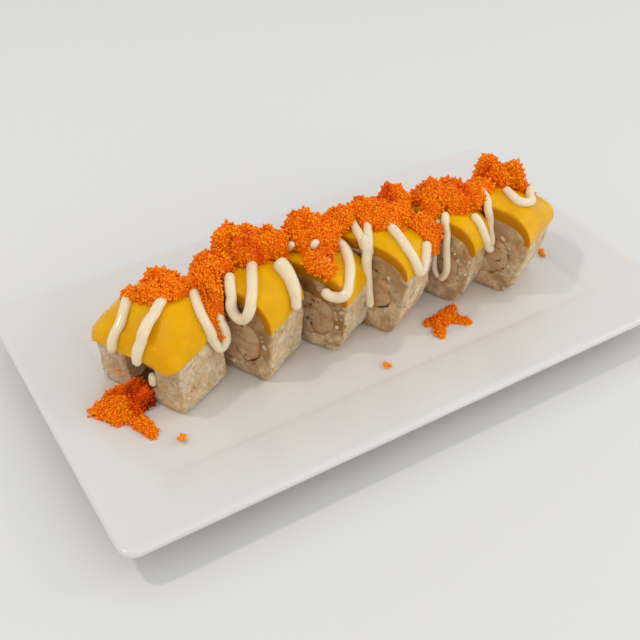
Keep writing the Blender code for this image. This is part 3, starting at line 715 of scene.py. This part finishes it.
def mark_shown(mesh, piece, number):
    """Marks where grains are laid, and a stain with painted shade on the cut face that looks left."""
    half = piece["half"]

    def shown(spot):
        along, across, height = piece["back"] @ spot / MM
        if abs(along) <= half - 1.2:
            return 1.0 * (0.8 < height < piece["belt"] - 0.5)
        on_rice = oval_measure(number, across, height, 1.6) > 1.0
        return 0.35 * (on_rice and 1.2 < height < crown(piece, along) - FRUIT_TOP - 1)

    # A real stain that runs down from the fruit, with painted shade laid over it, stronger on pieces whose
    # left face sits in a narrow gap.
    def juice_and_shade(spot):
        along, _, height = piece["back"] @ spot / MM
        run = noise.noise(spot * 130) + 0.6 * noise.noise(spot * 330)
        near_cut = smoothstep(-along, half - 2, half)
        return JUICE_AND_SHADE[number - 1] * near_cut * smoothstep(run + height / piece["top"], -0.5, 0.8)

    return marked(marked(mesh, "shown", shown), "juice_and_shade", juice_and_shade)


def open_split(core, piece):
    """The split in the first piece's end, cut with a slot of uneven walls."""
    middle, wide, high = CLEFT
    slot = bmesh.new()
    spread = Matrix.Translation(Vector((0, middle, high / 2 - 2)) * MM) @ Matrix.Diagonal(
        (60 * MM, wide * MM, (high + 4) * MM, 1))
    bmesh.ops.create_cube(slot, size=1.0, matrix=piece["place"] @ spread)
    bmesh.ops.subdivide_edges(slot, edges=slot.edges, cuts=14, use_grid_fill=True)
    slot_mesh = roughened(closed_mesh("slot", slot), ((6.0, 1.6), (2.5, 0.8)))
    slot_mesh.attributes.new("shown", "FLOAT", "POINT")
    cutter = placed("slot", slot_mesh)
    cut = modified(core, "BOOLEAN", object=cutter, operation="DIFFERENCE")
    bpy.data.objects.remove(cutter)
    return cut


rice_triangles = 0
for number, piece in enumerate(PIECES, 1):
    core = mark_shown(rice_mass(piece, number), piece, number)
    if number == 1:
        core = open_split(core, piece)
    mesh = grown(core, rice_tree, {**RICE_INPUTS, "Seed": number})
    rice_triangles += triangles(mesh)
    add_piece("rice_grains_%d" % number, mesh, rice_finish, "rice", "rice_%d" % number)
print("rice:", rice_triangles, "triangles")

# %% [markdown]
# ## The nori
#
# Nori is a thin sheet of pressed seaweed. Rolled up in rice it softens and draws back, so
# only stretches of its edge show on a cut face. The sheet is a ring whose edge comes to
# the face where it shows and stays 2 mm inside elsewhere.

# %% Softened nori
# Soaked seaweed is a dark brown, with a faint gloss where it is wet.
seaweed = Finish("softened nori")
cell = seaweed.noise(700.0, 2.0)
nori_finish = seaweed.done({
    "Base Color": seaweed.mix(cell, "3A2814", "6E4E2C"), "Normal": seaweed.bump(cell, 0.3, 0.0002),
    "Roughness": 0.45})

# %% The sheets
NORI_STEPS = 120
NORI_INSET = 0.1
NORI_BACK = 1.9


def nori_sheet(piece, number):
    """A thin closed ring round the filling."""
    half = piece["half"]
    low_end = -half + (SPLIT_DEPTH if number == 1 else 0.0)
    rings = []
    for side, grow in ((-1, 0.6), (1, 0.6), (1, 0.2), (-1, 0.2)):
        ring = []
        for step in range(NORI_STEPS):
            angle = 2 * math.pi * step / NORI_STEPS
            reach = NORI_INSET + NORI_BACK * (1 - nori_shows(number, side, angle))
            along = half - reach if side > 0 else low_end + reach
            ring.append((along, *core_point(number, angle, grow)))
        rings.append(ring)
    return shaped("nori", rings, True, piece["place"])


for number, piece in enumerate(PIECES, 1):
    add_piece("nori_sheet_%d" % number, nori_sheet(piece, number), nori_finish, "nori", "nori_%d" % number)
print("nori sheets:", len(PIECES))

# %% [markdown]
# ## The filling
#
# The filling is fried shrimp laid side by side: pale tan flesh with a thin brown
# crust where two of them meet. Each end is a fan of rings. Creases are pressed into it
# along curved lines, and the crust's strength is kept as an attribute for the colour.

# %% Fried shrimp
# Cooked shrimp is fibrous and slightly clear. Its crust is fried batter, orange brown,
# darker where the oil has caught it.
shrimp = Finish("fried shrimp")
fibre = shrimp.noise(260.0, 4.0, Roughness=0.65)
flesh = shrimp.mix(fibre, "A57C50", "D8B68C")
fried = shrimp.mix(fibre, "8A4A1A", "D4873A")
skin = shrimp.mix(shrimp.attribute("crust"), flesh, fried)
burnt = shrimp.ramp(shrimp.noise(300.0, 2.0), 0.64, 0.7)
shrimp_finish = shrimp.done({
    "Base Color": shrimp.mix(burnt, skin, "6B3412"), "Normal": shrimp.bump(fibre, 0.5, 0.0006),
    "Roughness": 0.42}, (0.2, (0.003, 0.0012, 0.0007)))

# %% The filling's core
FILL_STEPS = 96
CREASE_WIDTH = 0.8
CREASE_DEPTH = 0.7
FILL_GROW = 0.35


def crease(number, across, height):
    """How near a point of the section lies to a line where two shrimps meet, 0 to 1."""
    half_wide, half_high, middle = CORES[number - 1]
    bend = 2.2 * math.sin(height * 0.42 + number)
    near = min(abs(across - share * half_wide - bend) for share in (-0.42, 0.3))
    level = abs(height - middle - 1.5 - 2.0 * math.sin(across * 0.3 + number))
    return max(math.exp(-(near / CREASE_WIDTH) ** 2), 0.7 * math.exp(-(level / CREASE_WIDTH) ** 2))


def filling(piece, number):
    """The core with its creased ends, and the crust as an attribute of its corners."""
    half = piece["half"]
    low_end = -half + (SPLIT_DEPTH if number == 1 else 0.0)
    rings = []
    shares = (0.06, 0.16, 0.27, 0.38, 0.49, 0.6, 0.7, 0.8, 0.89, 0.96, 1.0)
    for side in (-1, 1):
        rows = []
        for share in shares:
            row = []
            middle = CORES[number - 1][2]
            for step in range(FILL_STEPS):
                across, height = core_point(number, 2 * math.pi * step / FILL_STEPS, FILL_GROW)
                across, height = across * share, middle + (height - middle) * share
                swell = 0.3 * noise.noise(Vector((across * 0.22, height * 0.22, number + side)))
                fine = 0.2 * noise.noise(Vector((across * 0.9, height * 0.9, number - side)))
                inwards = CREASE_DEPTH * crease(number, across, height)
                push = swell + fine - inwards
                row.append(((half + push) if side > 0 else (low_end - push), across, height))
            rows.append(row)
        rings += rows if side < 0 else rows[::-1]
    mesh = roughened(shaped("filling", rings, False, piece["place"]), RICE_WAVES)

    def crust(spot):
        _, across, height = piece["back"] @ spot / MM
        rim = smoothstep(oval_measure(number, across, height), 0.75, 1.0)
        return max(crease(number, across, height), rim) * smoothstep(noise.noise(spot * 160), -0.1, 0.35)

    return marked(mesh, "crust", crust)


for number, piece in enumerate(PIECES, 1):
    mesh = filling(piece, number)
    add_piece("shrimp_filling_%d" % number, mesh, shrimp_finish, "shrimp", "shrimp_%d" % number)
print("fillings:", len(PIECES))

# %% [markdown]
# ## The fruit
#
# A slab of ripe, soft fruit lies over each piece. It is sliced, so it has a thickness and
# a cut edge, and it drapes, so it follows the rice. The slab is a closed shell between
# two lines of the dome. At both ends of the roll it folds down over the cut face.

# %% Ripe fruit flesh
# The flesh is wet and deep yellow. Light goes in and comes out warmer, and the juice on
# it makes small sharp sparkles over cells under a millimetre wide.
fruit = Finish("ripe fruit flesh")
yellow = fruit.mix(fruit.ramp(fruit.noise(70.0, 3.0), 0.35, 0.68), "EBB200", "E09E00")
wet = fruit.bump(fruit.noise(850.0, 3.0, Roughness=0.6), 0.8, 0.0004)
# The cut ends are mixed to a darker amber, partly the cut flesh's own colour and partly painted shade on end
# faces that stay out of the light.
fruit_finish = fruit.done({
    "Base Color": fruit.mix(fruit.attribute("cut"), yellow, "B87400"), "Normal": wet,
    "Roughness": 0.1, "IOR": 1.38, "Specular IOR Level": 0.18}, (0.35, (0.004, 0.0018, 0.0003)))

# %% The slabs
FRUIT_AROUND = 44
FLAP_STEPS = 9
FLAP_GAP = 0.35


def fruit_sections(piece):
    """Outer and inner lines of the slab at each place along the piece."""
    half = piece["half"]
    stations = [-1.0, -0.95, -0.86] + [-0.72 + 0.12 * step for step in range(13)] + [0.86, 0.95, 1.0]
    outer = []
    inner = []
    for part in stations:
        along = half * part
        start = piece["lift"] * smoothstep(along, -0.1 * half, 1.3 * half)
        angles = [start + (180.0 - start) * step / 120 for step in range(121)]
        for lines, top, side in ((outer, 0.0, 0.0), (inner, FRUIT_TOP, FRUIT_SIDE)):
            line = [shell_point(piece, along, angle, top, side) for angle in angles]
            lines.append([(along, *point) for point in spaced(line, FRUIT_AROUND)])
    return outer, inner


def with_flap(piece, outer, inner):
    """Adds the fold over the roll's end to the slab's lines."""
    half = piece["half"]
    side = math.copysign(1, piece["bulge"])
    end_out = outer[-1] if side > 0 else outer[0]
    end_in = inner[-1] if side > 0 else inner[0]
    belt = piece["belt"]
    flap_out = []
    flap_in = []
    for step in range(1, FLAP_STEPS + 1):
        turn = math.radians(90 * step / FLAP_STEPS)
        sink = max(math.cos(turn), 0.02)
        along = side * (half + FLAP_GAP + abs(piece["bulge"]) * math.sin(turn))
        narrow = 1 - 0.18 * step / FLAP_STEPS
        flap_out.append([(along, across * narrow, belt + (height - belt) * sink)
                         for _, across, height in end_out])
        flap_in.append([(side * (half + FLAP_GAP), across, belt + (height - belt) * (sink - 0.02))
                        for _, across, height in end_in])
    if side < 0:
        return flap_out[::-1] + outer, flap_in[::-1] + inner
    return outer + flap_out, inner + flap_in


def fruit_slab(piece):
    """The slab as one closed, soft shell."""
    outer, inner = fruit_sections(piece)
    if piece["bulge"]:
        outer, inner = with_flap(piece, outer, inner)
    shape = bmesh.new()
    rows = joined_rows(shape, [out + inn[::-1] for out, inn in zip(outer, inner)], piece["place"])
    count = len(rows[0])
    for row in (rows[0], rows[-1]):
        for step in range(count // 2 - 1):
            mate = count - 1 - step
            shape.faces.new((row[step], row[step + 1], row[mate - 1], row[mate]))
    mesh = roughened(closed_mesh("fruit", shape), ((13.0, 0.7), (5.0, 0.25)))
    half = piece["half"]

    # The cut ends, except the folded one: they take the darker amber, partly painted shade.
    def cut(spot):
        along = (piece["back"] @ spot).x / MM
        return 0.0 if piece["bulge"] * along > 0 else smoothstep(abs(along), half - 0.9, half - 0.2)

    return modified(marked(mesh, "cut", cut), "SUBSURF", levels=1, render_levels=1)


fruit_trees = {}
for number, piece in enumerate(PIECES, 1):
    mesh = fruit_slab(piece)
    add_piece("fruit_slab_%d" % number, mesh, fruit_finish, "fruit", "fruit_%d" % number)
    fruit_trees[number] = BVHTree.FromPolygons(
        [corner.co for corner in mesh.vertices], [tuple(face.vertices) for face in mesh.polygons])
print("fruit slabs:", len(fruit_trees))

# %% [markdown]
# ## The sauce
#
# Mayonnaise is squeezed from a bottle in loops across the roll. It keeps the round
# section of the nozzle, bulges where the hand turns back, and sticks where it lands. Each
# strand is a smooth line pressed onto the fruit, and a tree gives it its round body.

# %% Mayonnaise
# An emulsion of oil: cream white, glossy, and softly lit from inside.
sauce = Finish("mayonnaise")
ripple = sauce.noise(220.0, 1.0)
sauce_finish = sauce.done({
    "Base Color": sauce.mix(ripple, "E6D3AB", "EFDEBC"), "Normal": sauce.bump(ripple, 0.15, 0.0005),
    "Roughness": 0.12}, (0.2, (0.0025, 0.0018, 0.001)))

# %% Where the strands lie
# For each piece, strands of a radius through points along it, across it and above the
# plate, in millimetres. A last number is the far end's girth as a share of the first.
STRANDS = {
    1: (
        (2.3, ((-2, 14, 43), (-9, 11, 42), (-15, 8.5, 38), (-18.5, 8.5, 32), (-19.5, 9, 27))),
        (2.5, ((4.5, -1.5, 44.5), (-8, -4, 43.5), (-16.5, -5.5, 39.5), (-19.5, -5, 33), (-20, -4.5, 26))),
        (2.3, ((15.5, 4.5, 45.5), (17, -1, 44.5), (15.5, -5.5, 42.5), (9, -14.5, 41), (6.5, -19.5, 36),
               (7, -24, 28), (9.5, -25, 22), (13.5, -25, 23.5), (14.5, -24, 30), (14.5, -20, 36))),
        (1.9, ((-14.7, -6.4, 17.5), (-15.1, -6.7, 15), (-15.2, -6.6, 12.5), (-14.6, -6.2, 10))),
    ),
    2: (
        (2.5, ((-7, 1, 47), (-13.5, -4, 46), (-17, -6.2, 43), (-17, -6.5, 38.5), (-17, -8.5, 35.5),
               (-17, -11, 34.5), (-17, -14, 37), (-16.5, -15.5, 42), (-11, -13, 45), (-4, -8.5, 46.5),
               (5, -2.5, 47.5))),
        (3.9, ((12, -11, 45.5), (10, -16, 43.5), (7.5, -20.5, 40.5), (5, -24, 35),
               (3.5, -25.5, 31.5)), 0.62),
    ),
    3: (
        (2.5, ((10.5, -4, 45.5), (8.5, -11, 44.5), (2, -17.5, 42), (-5.5, -21.5, 39), (-12, -22.5, 35.5),
               (-14.4, -18, 34), (-14.4, -13, 36.5))),
        (1.7, ((-7, 9, 45), (-6.5, 8.5, 48.8), (-7.5, 5.5, 49.2))),
        (1.9, ((-4, -2.5, 48), (-3.4, -2.3, 51.2), (-0.8, -3.4, 51))),
        (1.9, ((-8, -9, 44), (-9.5, -10, 48), (-6, -12.5, 47))),
    ),
    4: (
        (2.0, ((-3, 11, 48.5), (-8, 5.5, 49), (-13.5, -1, 48.5), (-16.2, -4.5, 44))),
        (2.0, ((2, 4.5, 49.5), (-7, -0.5, 49.5), (-13.5, -5, 48), (-16.2, -6.5, 42))),
        (2.6, ((-11.5, -1.5, 49), (-15, -4.6, 47), (-16.8, -5.8, 41), (-17.2, -6.8, 33), (-17, -8, 22),
               (-16.8, -9, 14.5)), 0.75),
        (2.4, ((2, -6, 49.5), (-2, -13, 48), (-6, -20, 45), (-6.5, -25.5, 38), (-3.5, -27.5, 34),
               (0.5, -26.5, 37.5), (7.5, -23, 43))),
    ),
    5: (
        (1.4, ((-10, -5.5, 46), (-12, -6.5, 41.5), (-12.4, -7, 30), (-12.3, -7.5, 19), (-12.3, -10.5, 14))),
        (1.9, ((-5.5, -7, 47), (-9, -9.5, 45), (-12.3, -12, 38), (-12.4, -13, 30), (-12.4, -14, 22),
               (-12.3, -13, 16), (-12.3, -10.5, 13.5))),
        (2.1, ((2, -17.5, 44.5), (1, -22, 41.5), (0.5, -26, 36.5), (4, -28, 29), (7.5, -28, 25.5))),
    ),
    6: (
        (2.0, ((-4, 6.5, 48), (-10, 0, 48), (-15, -5, 45), (-16.5, -6.5, 38.5), (-16.3, -8.5, 30),
               (-18.5, -8.8, 26.5))),
        (2.2, ((1.5, -5.5, 48), (-3, -11, 47.5), (-5, -15.5, 46), (-1, -18.5, 45), (3, -19, 45),
               (8.5, -16.5, 46), (13, -14.5, 46))),
    ),
}
STRAND_STEP = 1.0
HOLD_NEAR = 2.2
HOLD_FAR = 3.4


def strand_tree():
    """Gives a line of points a round body whose girth is an attribute."""
    tree, given, result = new_tree("sauce strand", {"Radius": 0.002, "Sides": 14})
    line = add_node(tree, "GeometryNodeMeshToCurve", {0: given["Geometry"]})
    girth = add_node(tree, "GeometryNodeInputNamedAttribute", {"Name": "girth"}, data_type="FLOAT")
    ring = add_node(tree, "GeometryNodeCurvePrimitiveCircle", {
        "Resolution": given["Sides"], "Radius": given["Radius"]})
    thick = add_node(tree, "GeometryNodeSetCurveRadius", {
        "Curve": line.outputs[0], "Radius": girth.outputs["Attribute"]})
    body = add_node(tree, "GeometryNodeCurveToMesh", {
        "Curve": thick.outputs[0], "Profile Curve": ring.outputs[0], "Scale": girth.outputs["Attribute"],
        "Fill Caps": True})
    sealed = add_node(tree, "GeometryNodeMergeByDistance", {
        "Geometry": body.outputs[0], "Distance": 0.02 * MM})
    real = add_node(tree, "GeometryNodeRealizeInstances", {"Geometry": sealed.outputs[0]})
    return ended(tree, [real.outputs[0]], sauce_finish, result)


sauce_tree = strand_tree()


def strand_points(piece, number, points, radius):
    """The strand's line: smooth, and pressed onto the fruit where it comes near."""
    path = []
    for point in through([piece["place"] @ (Vector(given) * MM) for given in points], STRAND_STEP * MM):
        spot, normal, _, distance = fruit_trees[number].find_nearest(point)
        hold = 1 - smoothstep(distance, HOLD_NEAR * MM, HOLD_FAR * MM)
        path.append(point.lerp(spot + normal * radius * 0.5, hold))
    for _ in range(3):
        path = [path[0], *((a + b * 2 + c) / 4 for a, b, c in zip(path, path[1:], path[2:])), path[-1]]
    return path


def strand_mesh(points, seed, taper):
    """The points joined in a row, with a girth that closes at both ends."""
    mesh = bpy.data.meshes.new("strand")
    mesh.from_pydata(points, [(step, step + 1) for step in range(len(points) - 1)], [])
    girth = mesh.attributes.new("girth", "FLOAT", "POINT")
    last = len(points) - 1
    for step in range(last + 1):
        from_end = min(step, last - step)
        tip = math.sqrt(1 - (1 - min(from_end / 2.4, 1.0)) ** 2)
        wave = 1 + 0.16 * noise.noise(Vector((step * 0.13, seed, 0)))
        girth.data[step].value = max(tip, 0.12) * wave * (1 + (taper - 1) * step / last)
    return mesh


for number, piece in enumerate(PIECES, 1):
    joined = bmesh.new()
    for index, (radius, points, *taper) in enumerate(STRANDS[number]):
        line = strand_points(piece, number, points, radius * MM)
        core = strand_mesh(line, number * 5 + index, taper[0] if taper else 1.0)
        body = grown(core, sauce_tree, {"Radius": radius * MM, "Sides": 14})
        joined.from_mesh(body)
    mesh = closed_mesh("sauce", joined)
    nodes = ["fruit_%d" % number] + (["rice_1"] if number == 1 else [])
    add_piece("sauce_strands_%d" % number, mesh, sauce_finish, "fruit", *nodes)
print("strands:", sum(len(rows) for rows in STRANDS.values()))

# %% [markdown]
# ## The roe
#
# The roe is hundreds of wet orange grains, each under 2 mm, heaped with a spoon along the
# crown. They cling, so a heap has a lumpy top and a ragged edge. Each heap has a core of
# overlapping mounds, and a tree covers it with two layers of grains and small piles.

# %% Orange roe
# A grain is a clear skin over an orange drop: deep colour, a sharp small highlight, and
# more yellow where light passes through. The thick mark deepens the colour towards red:
# partly in random patches, partly as painted shade between the clinging knobs, and as a
# painted shadow where the spill meets the roll's cleft.
roe = Finish("orange roe")
hue = roe.mix(roe.attribute("tone"), "FA7200", "FF9C0A")
# Painted shade: thick is high between the knobs and by the roll's cleft, and the noise breaks it into
# patches, so the colour deepens to red there.
patches_and_shade = roe.math("MULTIPLY", roe.attribute("thick"), roe.noise(150.0, 2.0))
deep = roe.mix(roe.ramp(patches_and_shade, 0.15, 0.5), hue, "E85200")
deepest = roe.mix(roe.ramp(patches_and_shade, 0.5, 0.9), deep, "A83400")
roe_finish = roe.done({"Base Color": deepest, "Roughness": 0.16, "IOR": 1.38, "Specular IOR Level": 0.2})

# %% Where the heaps lie
# Each heap is made of mounds, given by x, y, half lengths and rise in millimetres.
HEAPS = (
    ((-88, 7.5, 11, 9.5, 6.5), (-88, 12, 6, 5.5, 9.0), (-101, 12.5, 4, 4, 4.0), (-77.5, 3.5, 4.5, 5, 4.5)),
    ((-65, 6.5, 9.5, 9, 9.0), (-70, 1, 5, 7, 5.0), (-72, -8, 4.5, 7, 3.4), (-74, -12.5, 4, 3.5, 2.6)),
    ((-46, 10, 12.5, 11, 14.0), (-52, 13.5, 8, 7.5, 19.0), (-35, 9, 10, 9, 15.0)),
    ((-13, 4, 12, 11, 12.0), (-18, 9, 9, 8, 17.0), (-20, -12, 7, 8, 5.0), (0, 6, 8, 8, 11.5)),
    ((22, 0, 14, 12, 7.0), (33, 6, 7, 7, 15.0), (35, -15, 6, 7, 5.0), (12, 7, 7, 7, 8.0)),
    ((60, -3, 11, 12, 9.0), (53, 2, 7, 8, 10.0), (68, -8, 7, 8, 5.0), (47, 4, 6, 8, 5.0),
     (45.5, -5, 4.5, 6.5, 4.5)),
    ((78, -2, 6, 8, 3.0),),
    ((93, 0, 10, 8, 12.0), (89.5, 6, 6.5, 6, 17.0), (98, -4, 5, 6, 17.0), (100.5, -11, 4, 4, 5.0)),
)
SPILL = ((-116.5, -5.5, 9, 9, 7.5), (-108.5, -5, 5.5, 8, 11.0), (-125.5, -6.5, 6.5, 5, 4.0),
         (-115, -21.5, 4, 5, 3.2), (-113.5, -26.5, 2.8, 3.5, 2.8), (-120.5, -12, 7.5, 5.5, 4.5))
# The centre of a painted shadow on the spill, where it meets the roll's cleft.
SPILL_SHADOW_CENTRE = (-107, -10)
STAR = ((39, -31, 5, 4, 2.4), (33, -29.5, 5, 2.5, 2.0), (44.5, -27, 5, 2.6, 2.0), (45, -34, 2.8, 3, 1.9),
        (47, -37.3, 2.2, 3, 1.7), (33, -36, 3, 3.4, 2.0), (31, -39.5, 2.6, 2.6, 1.8))


def plate_top(x, y):
    """The height of the plate's upper face."""
    inset = min(PLATE_LONG / 2 - abs(x), PLATE_SHORT / 2 - abs(y))
    if inset >= RIM_WIDTH + STEP_WIDTH:
        return PLATE_FLOOR
    if inset >= RIM_WIDTH:
        return PLATE_FLOOR + STEP_FALL * (RIM_WIDTH + STEP_WIDTH - inset) / STEP_WIDTH
    return LIP_TOP - RIM_FALL * inset / RIM_WIDTH


def roof(x, y):
    """The height of the roll's crowns over a place on the plate, bridged between pieces."""
    best = STAND
    for piece in PIECES:
        spot = piece["back"] @ (Vector((x, y, 0)) * MM) / MM
        half = piece["half"]
        if abs(spot.x) > half + 5.5:
            continue
        side = min(abs(spot.y - piece["lean"]) / piece["wide"], 1.0)
        lift = (1 - side ** DOME_POWER) ** (1 / DOME_POWER)
        along = min(max(spot.x, -half), half)
        best = max(best, STAND + piece["belt"] + (crown(piece, along) - piece["belt"]) * lift)
    return best


HEAP_SECTORS = 96
HEAP_RINGS = 20
HEAP_FLOOR = 0.8
HEAP_FALL = 20.0
KNOB_SIZE = 2.8
KNOB_HEIGHT = 2.2


def knob(x, y, seed):
    """Round knobs of grains that cling together, 0 to 1."""
    near = noise.voronoi(Vector((x / KNOB_SIZE, y / KNOB_SIZE, seed)))[0][0]
    return math.sqrt(max(1 - (near / 0.7) ** 2, 0.0))


def heap_reach(mounds, ground, seed, way):
    """How far a heap runs from its centre in one direction. It stops where the ground
    falls away."""
    centre = Vector(mounds[0][:2])
    far = 0.0
    for x, y, half_x, half_y, _ in mounds:
        scale = Vector((1 / half_x, 1 / half_y))
        start = (centre - Vector((x, y))) * scale
        run = way * scale
        inside = start.dot(run) ** 2 - run.dot(run) * (start.dot(start) - 1)
        if inside > 0:
            far = max(far, (math.sqrt(inside) - start.dot(run)) / run.dot(run))
    ragged, torn, fine = (noise.noise(Vector((way.x * size, way.y * size, seed))) for size in (3, 9, 22))
    wanted = far * (1 + 0.2 * ragged + 0.12 * torn + 0.09 * fine)
    reach = 1.0
    while reach < wanted and ground(*(centre + way * (reach + 0.5))) > ground(*centre) - HEAP_FALL:
        reach += 0.5
    return min(reach, wanted)


def heap_rise(mounds, seed, x, y):
    """How high a heap stands over the ground."""
    best = 0.0
    for mid_x, mid_y, half_x, half_y, high in mounds:
        away = ((x - mid_x) / half_x) ** 2 + ((y - mid_y) / half_y) ** 2
        best = max(best, high * max(1 - away, 0) ** 0.4)
    lump = noise.noise(Vector((x * 0.22, y * 0.22, seed)))
    clump = KNOB_HEIGHT * knob(x, y, seed) * min(best / 4, 1.0)
    return max(best * (0.8 + 0.35 * lump) + clump - 0.6, 0.4)


def heap_core(mounds, ground, seed):
    """A heap's closed core over its mounds, with a ragged edge."""
    centre = Vector(mounds[0][:2])
    angles = [2 * math.pi * step / HEAP_SECTORS for step in range(HEAP_SECTORS)]
    reaches = [heap_reach(mounds, ground, seed, Vector((math.cos(angle), math.sin(angle))))
               for angle in angles]
    rows = []
    for upper, steps in ((False, range(1, HEAP_RINGS + 1)), (True, range(HEAP_RINGS, 0, -1))):
        for ring in steps:
            row = []
            for angle, far in zip(angles, reaches):
                reach = far * math.sin(math.radians(90 * ring / HEAP_RINGS))
                x = centre.x + reach * math.cos(angle)
                y = centre.y + reach * math.sin(angle)
                row.append((x, y, ground(x, y) + (heap_rise(mounds, seed, x, y) if upper else -HEAP_FLOOR)))
            rows.append(row)

    # Random patches, with painted shade between the knobs and a painted shadow near the roll's cleft.
    def thick(spot):
        x, y, _ = spot / MM
        shade = 0.4 - 0.3 * knob(x, y, seed) + 0.9 * noise.noise(Vector((x * 0.12, y * 0.12, seed)))
        near = (Vector((x, y)) - Vector(SPILL_SHADOW_CENTRE)).length
        return min(max(shade, 0.0), 1.0) + 1.2 * (1 - smoothstep(near, 3, 13))

    return marked(shaped("heap", rows, False), "thick", thick)


# %% The tree that heaps grains
ROE_INPUTS = {
    "Grain width": 0.00108, "Spacing": 0.00072, "Second layer": 0.0013, "Tufts": 0.0024, "Lift": 0.0006,
    "Seed": 0}


def roe_tree():
    """Covers a core's open side with wet grains in two layers, with small piles on them."""
    tree, given, result = new_tree("roe grains", ROE_INPUTS)
    body = add_node(tree, "GeometryNodeMeshIcoSphere", {"Subdivisions": 1, "Radius": 0.5}).outputs["Mesh"]
    pile = add_node(tree, "GeometryNodeJoinGeometry")
    for spot in ((0.45, 0.0, 0.3), (-0.3, 0.4, 0.45), (-0.25, -0.4, 0.25), (0.05, 0.05, 0.95)):
        stacked = add_node(tree, "GeometryNodeTransform", {"Geometry": body, "Translation": spot})
        tree.links.new(stacked.outputs[0], pile.inputs[0])
    facing = add_node(tree, "GeometryNodeInputNormal")
    parts = add_node(tree, "ShaderNodeSeparateXYZ", {0: facing.outputs[0]})
    open_side = add_node(
        tree, "FunctionNodeCompare", {0: parts.outputs["Z"], 1: -0.8}, operation="GREATER_THAN").outputs[0]
    wide = product(tree, drawn(tree, given, 0.82, 1.15), given["Grain width"])
    layers = [given["Geometry"]]
    for spacing, low, high, form in (
            ("Spacing", 0.0, 0.5, body), ("Second layer", 0.4, 1.1, body),
            ("Tufts", 0.1, 0.7, pile.outputs[0])):
        rise = product(tree, drawn(tree, given, low, high), given["Lift"])
        choice = {"Distance Min": given[spacing], "Density Max": 2500000.0, "Selection": open_side}
        layers.append(scattered(tree, given, choice, form, wide, rise, (low * 0.5, 1.0)))
    return ended(tree, layers, roe_finish, result)


heap_tree = roe_tree()
roe_triangles = 0
ROE_PILES = [("roe_heap_%d" % index, "roe_%d" % index, mounds, roof, index * 2.7, index)
             for index, mounds in enumerate(HEAPS, 1)]
ROE_PILES += [("loose_" + node, node, mounds, plate_top, len(node), len(node))
              for node, mounds in (("roe_spill", SPILL), ("roe_star", STAR))]
for name, node, mounds, ground, wander, seed in ROE_PILES:
    mesh = grown(heap_core(mounds, ground, wander), heap_tree, {**ROE_INPUTS, "Seed": seed})
    roe_triangles += triangles(mesh)
    add_piece(name, mesh, roe_finish, "roe", node)
print("roe:", roe_triangles, "triangles")

# %% [markdown]
# A few grains have rolled away from the heaps. Each little cluster is listed, and its
# grains are drawn from a seeded random row, so every run gives the same ones.

# %% Loose grains
# Each cluster is given by its place on the plate, its count of grains and its spread.
CLUSTERS = (
    ((-103.8, -37.7, 16.5), 22, 2.5), ((-3.1, -44, 15.3), 14, 1.9), ((115.2, -16.2, 15.4), 12, 1.7),
    ((116.4, -13.2, 15.7), 14, 1.7), ((2.5, -14.9, 63.6), 3, 0.8), ((43.2, -9.3, 21.5), 5, 1.0),
    ((-112.9, 7.9, 21.9), 3, 0.8),
)
LOOSE_RADIUS = 0.75
LOOSE_TONE = 0.8
random.seed(7)
loose = bmesh.new()
for spot, count, spread in CLUSTERS:
    for _ in range(count):
        shift = Vector((random.gauss(0, 0.36), random.gauss(0, 0.36), random.uniform(-0.15, 0.35))) * spread
        grain = Matrix.Translation((Vector(spot) + shift) * MM)
        bmesh.ops.create_uvsphere(loose, u_segments=8, v_segments=5, radius=LOOSE_RADIUS * MM, matrix=grain)
loose_mesh = marked(closed_mesh("loose grains", loose), "tone", lambda _: LOOSE_TONE)
add_piece("loose_grains", loose_mesh, roe_finish, "roe")
print("loose grains:", sum(count for _, count, _ in CLUSTERS))
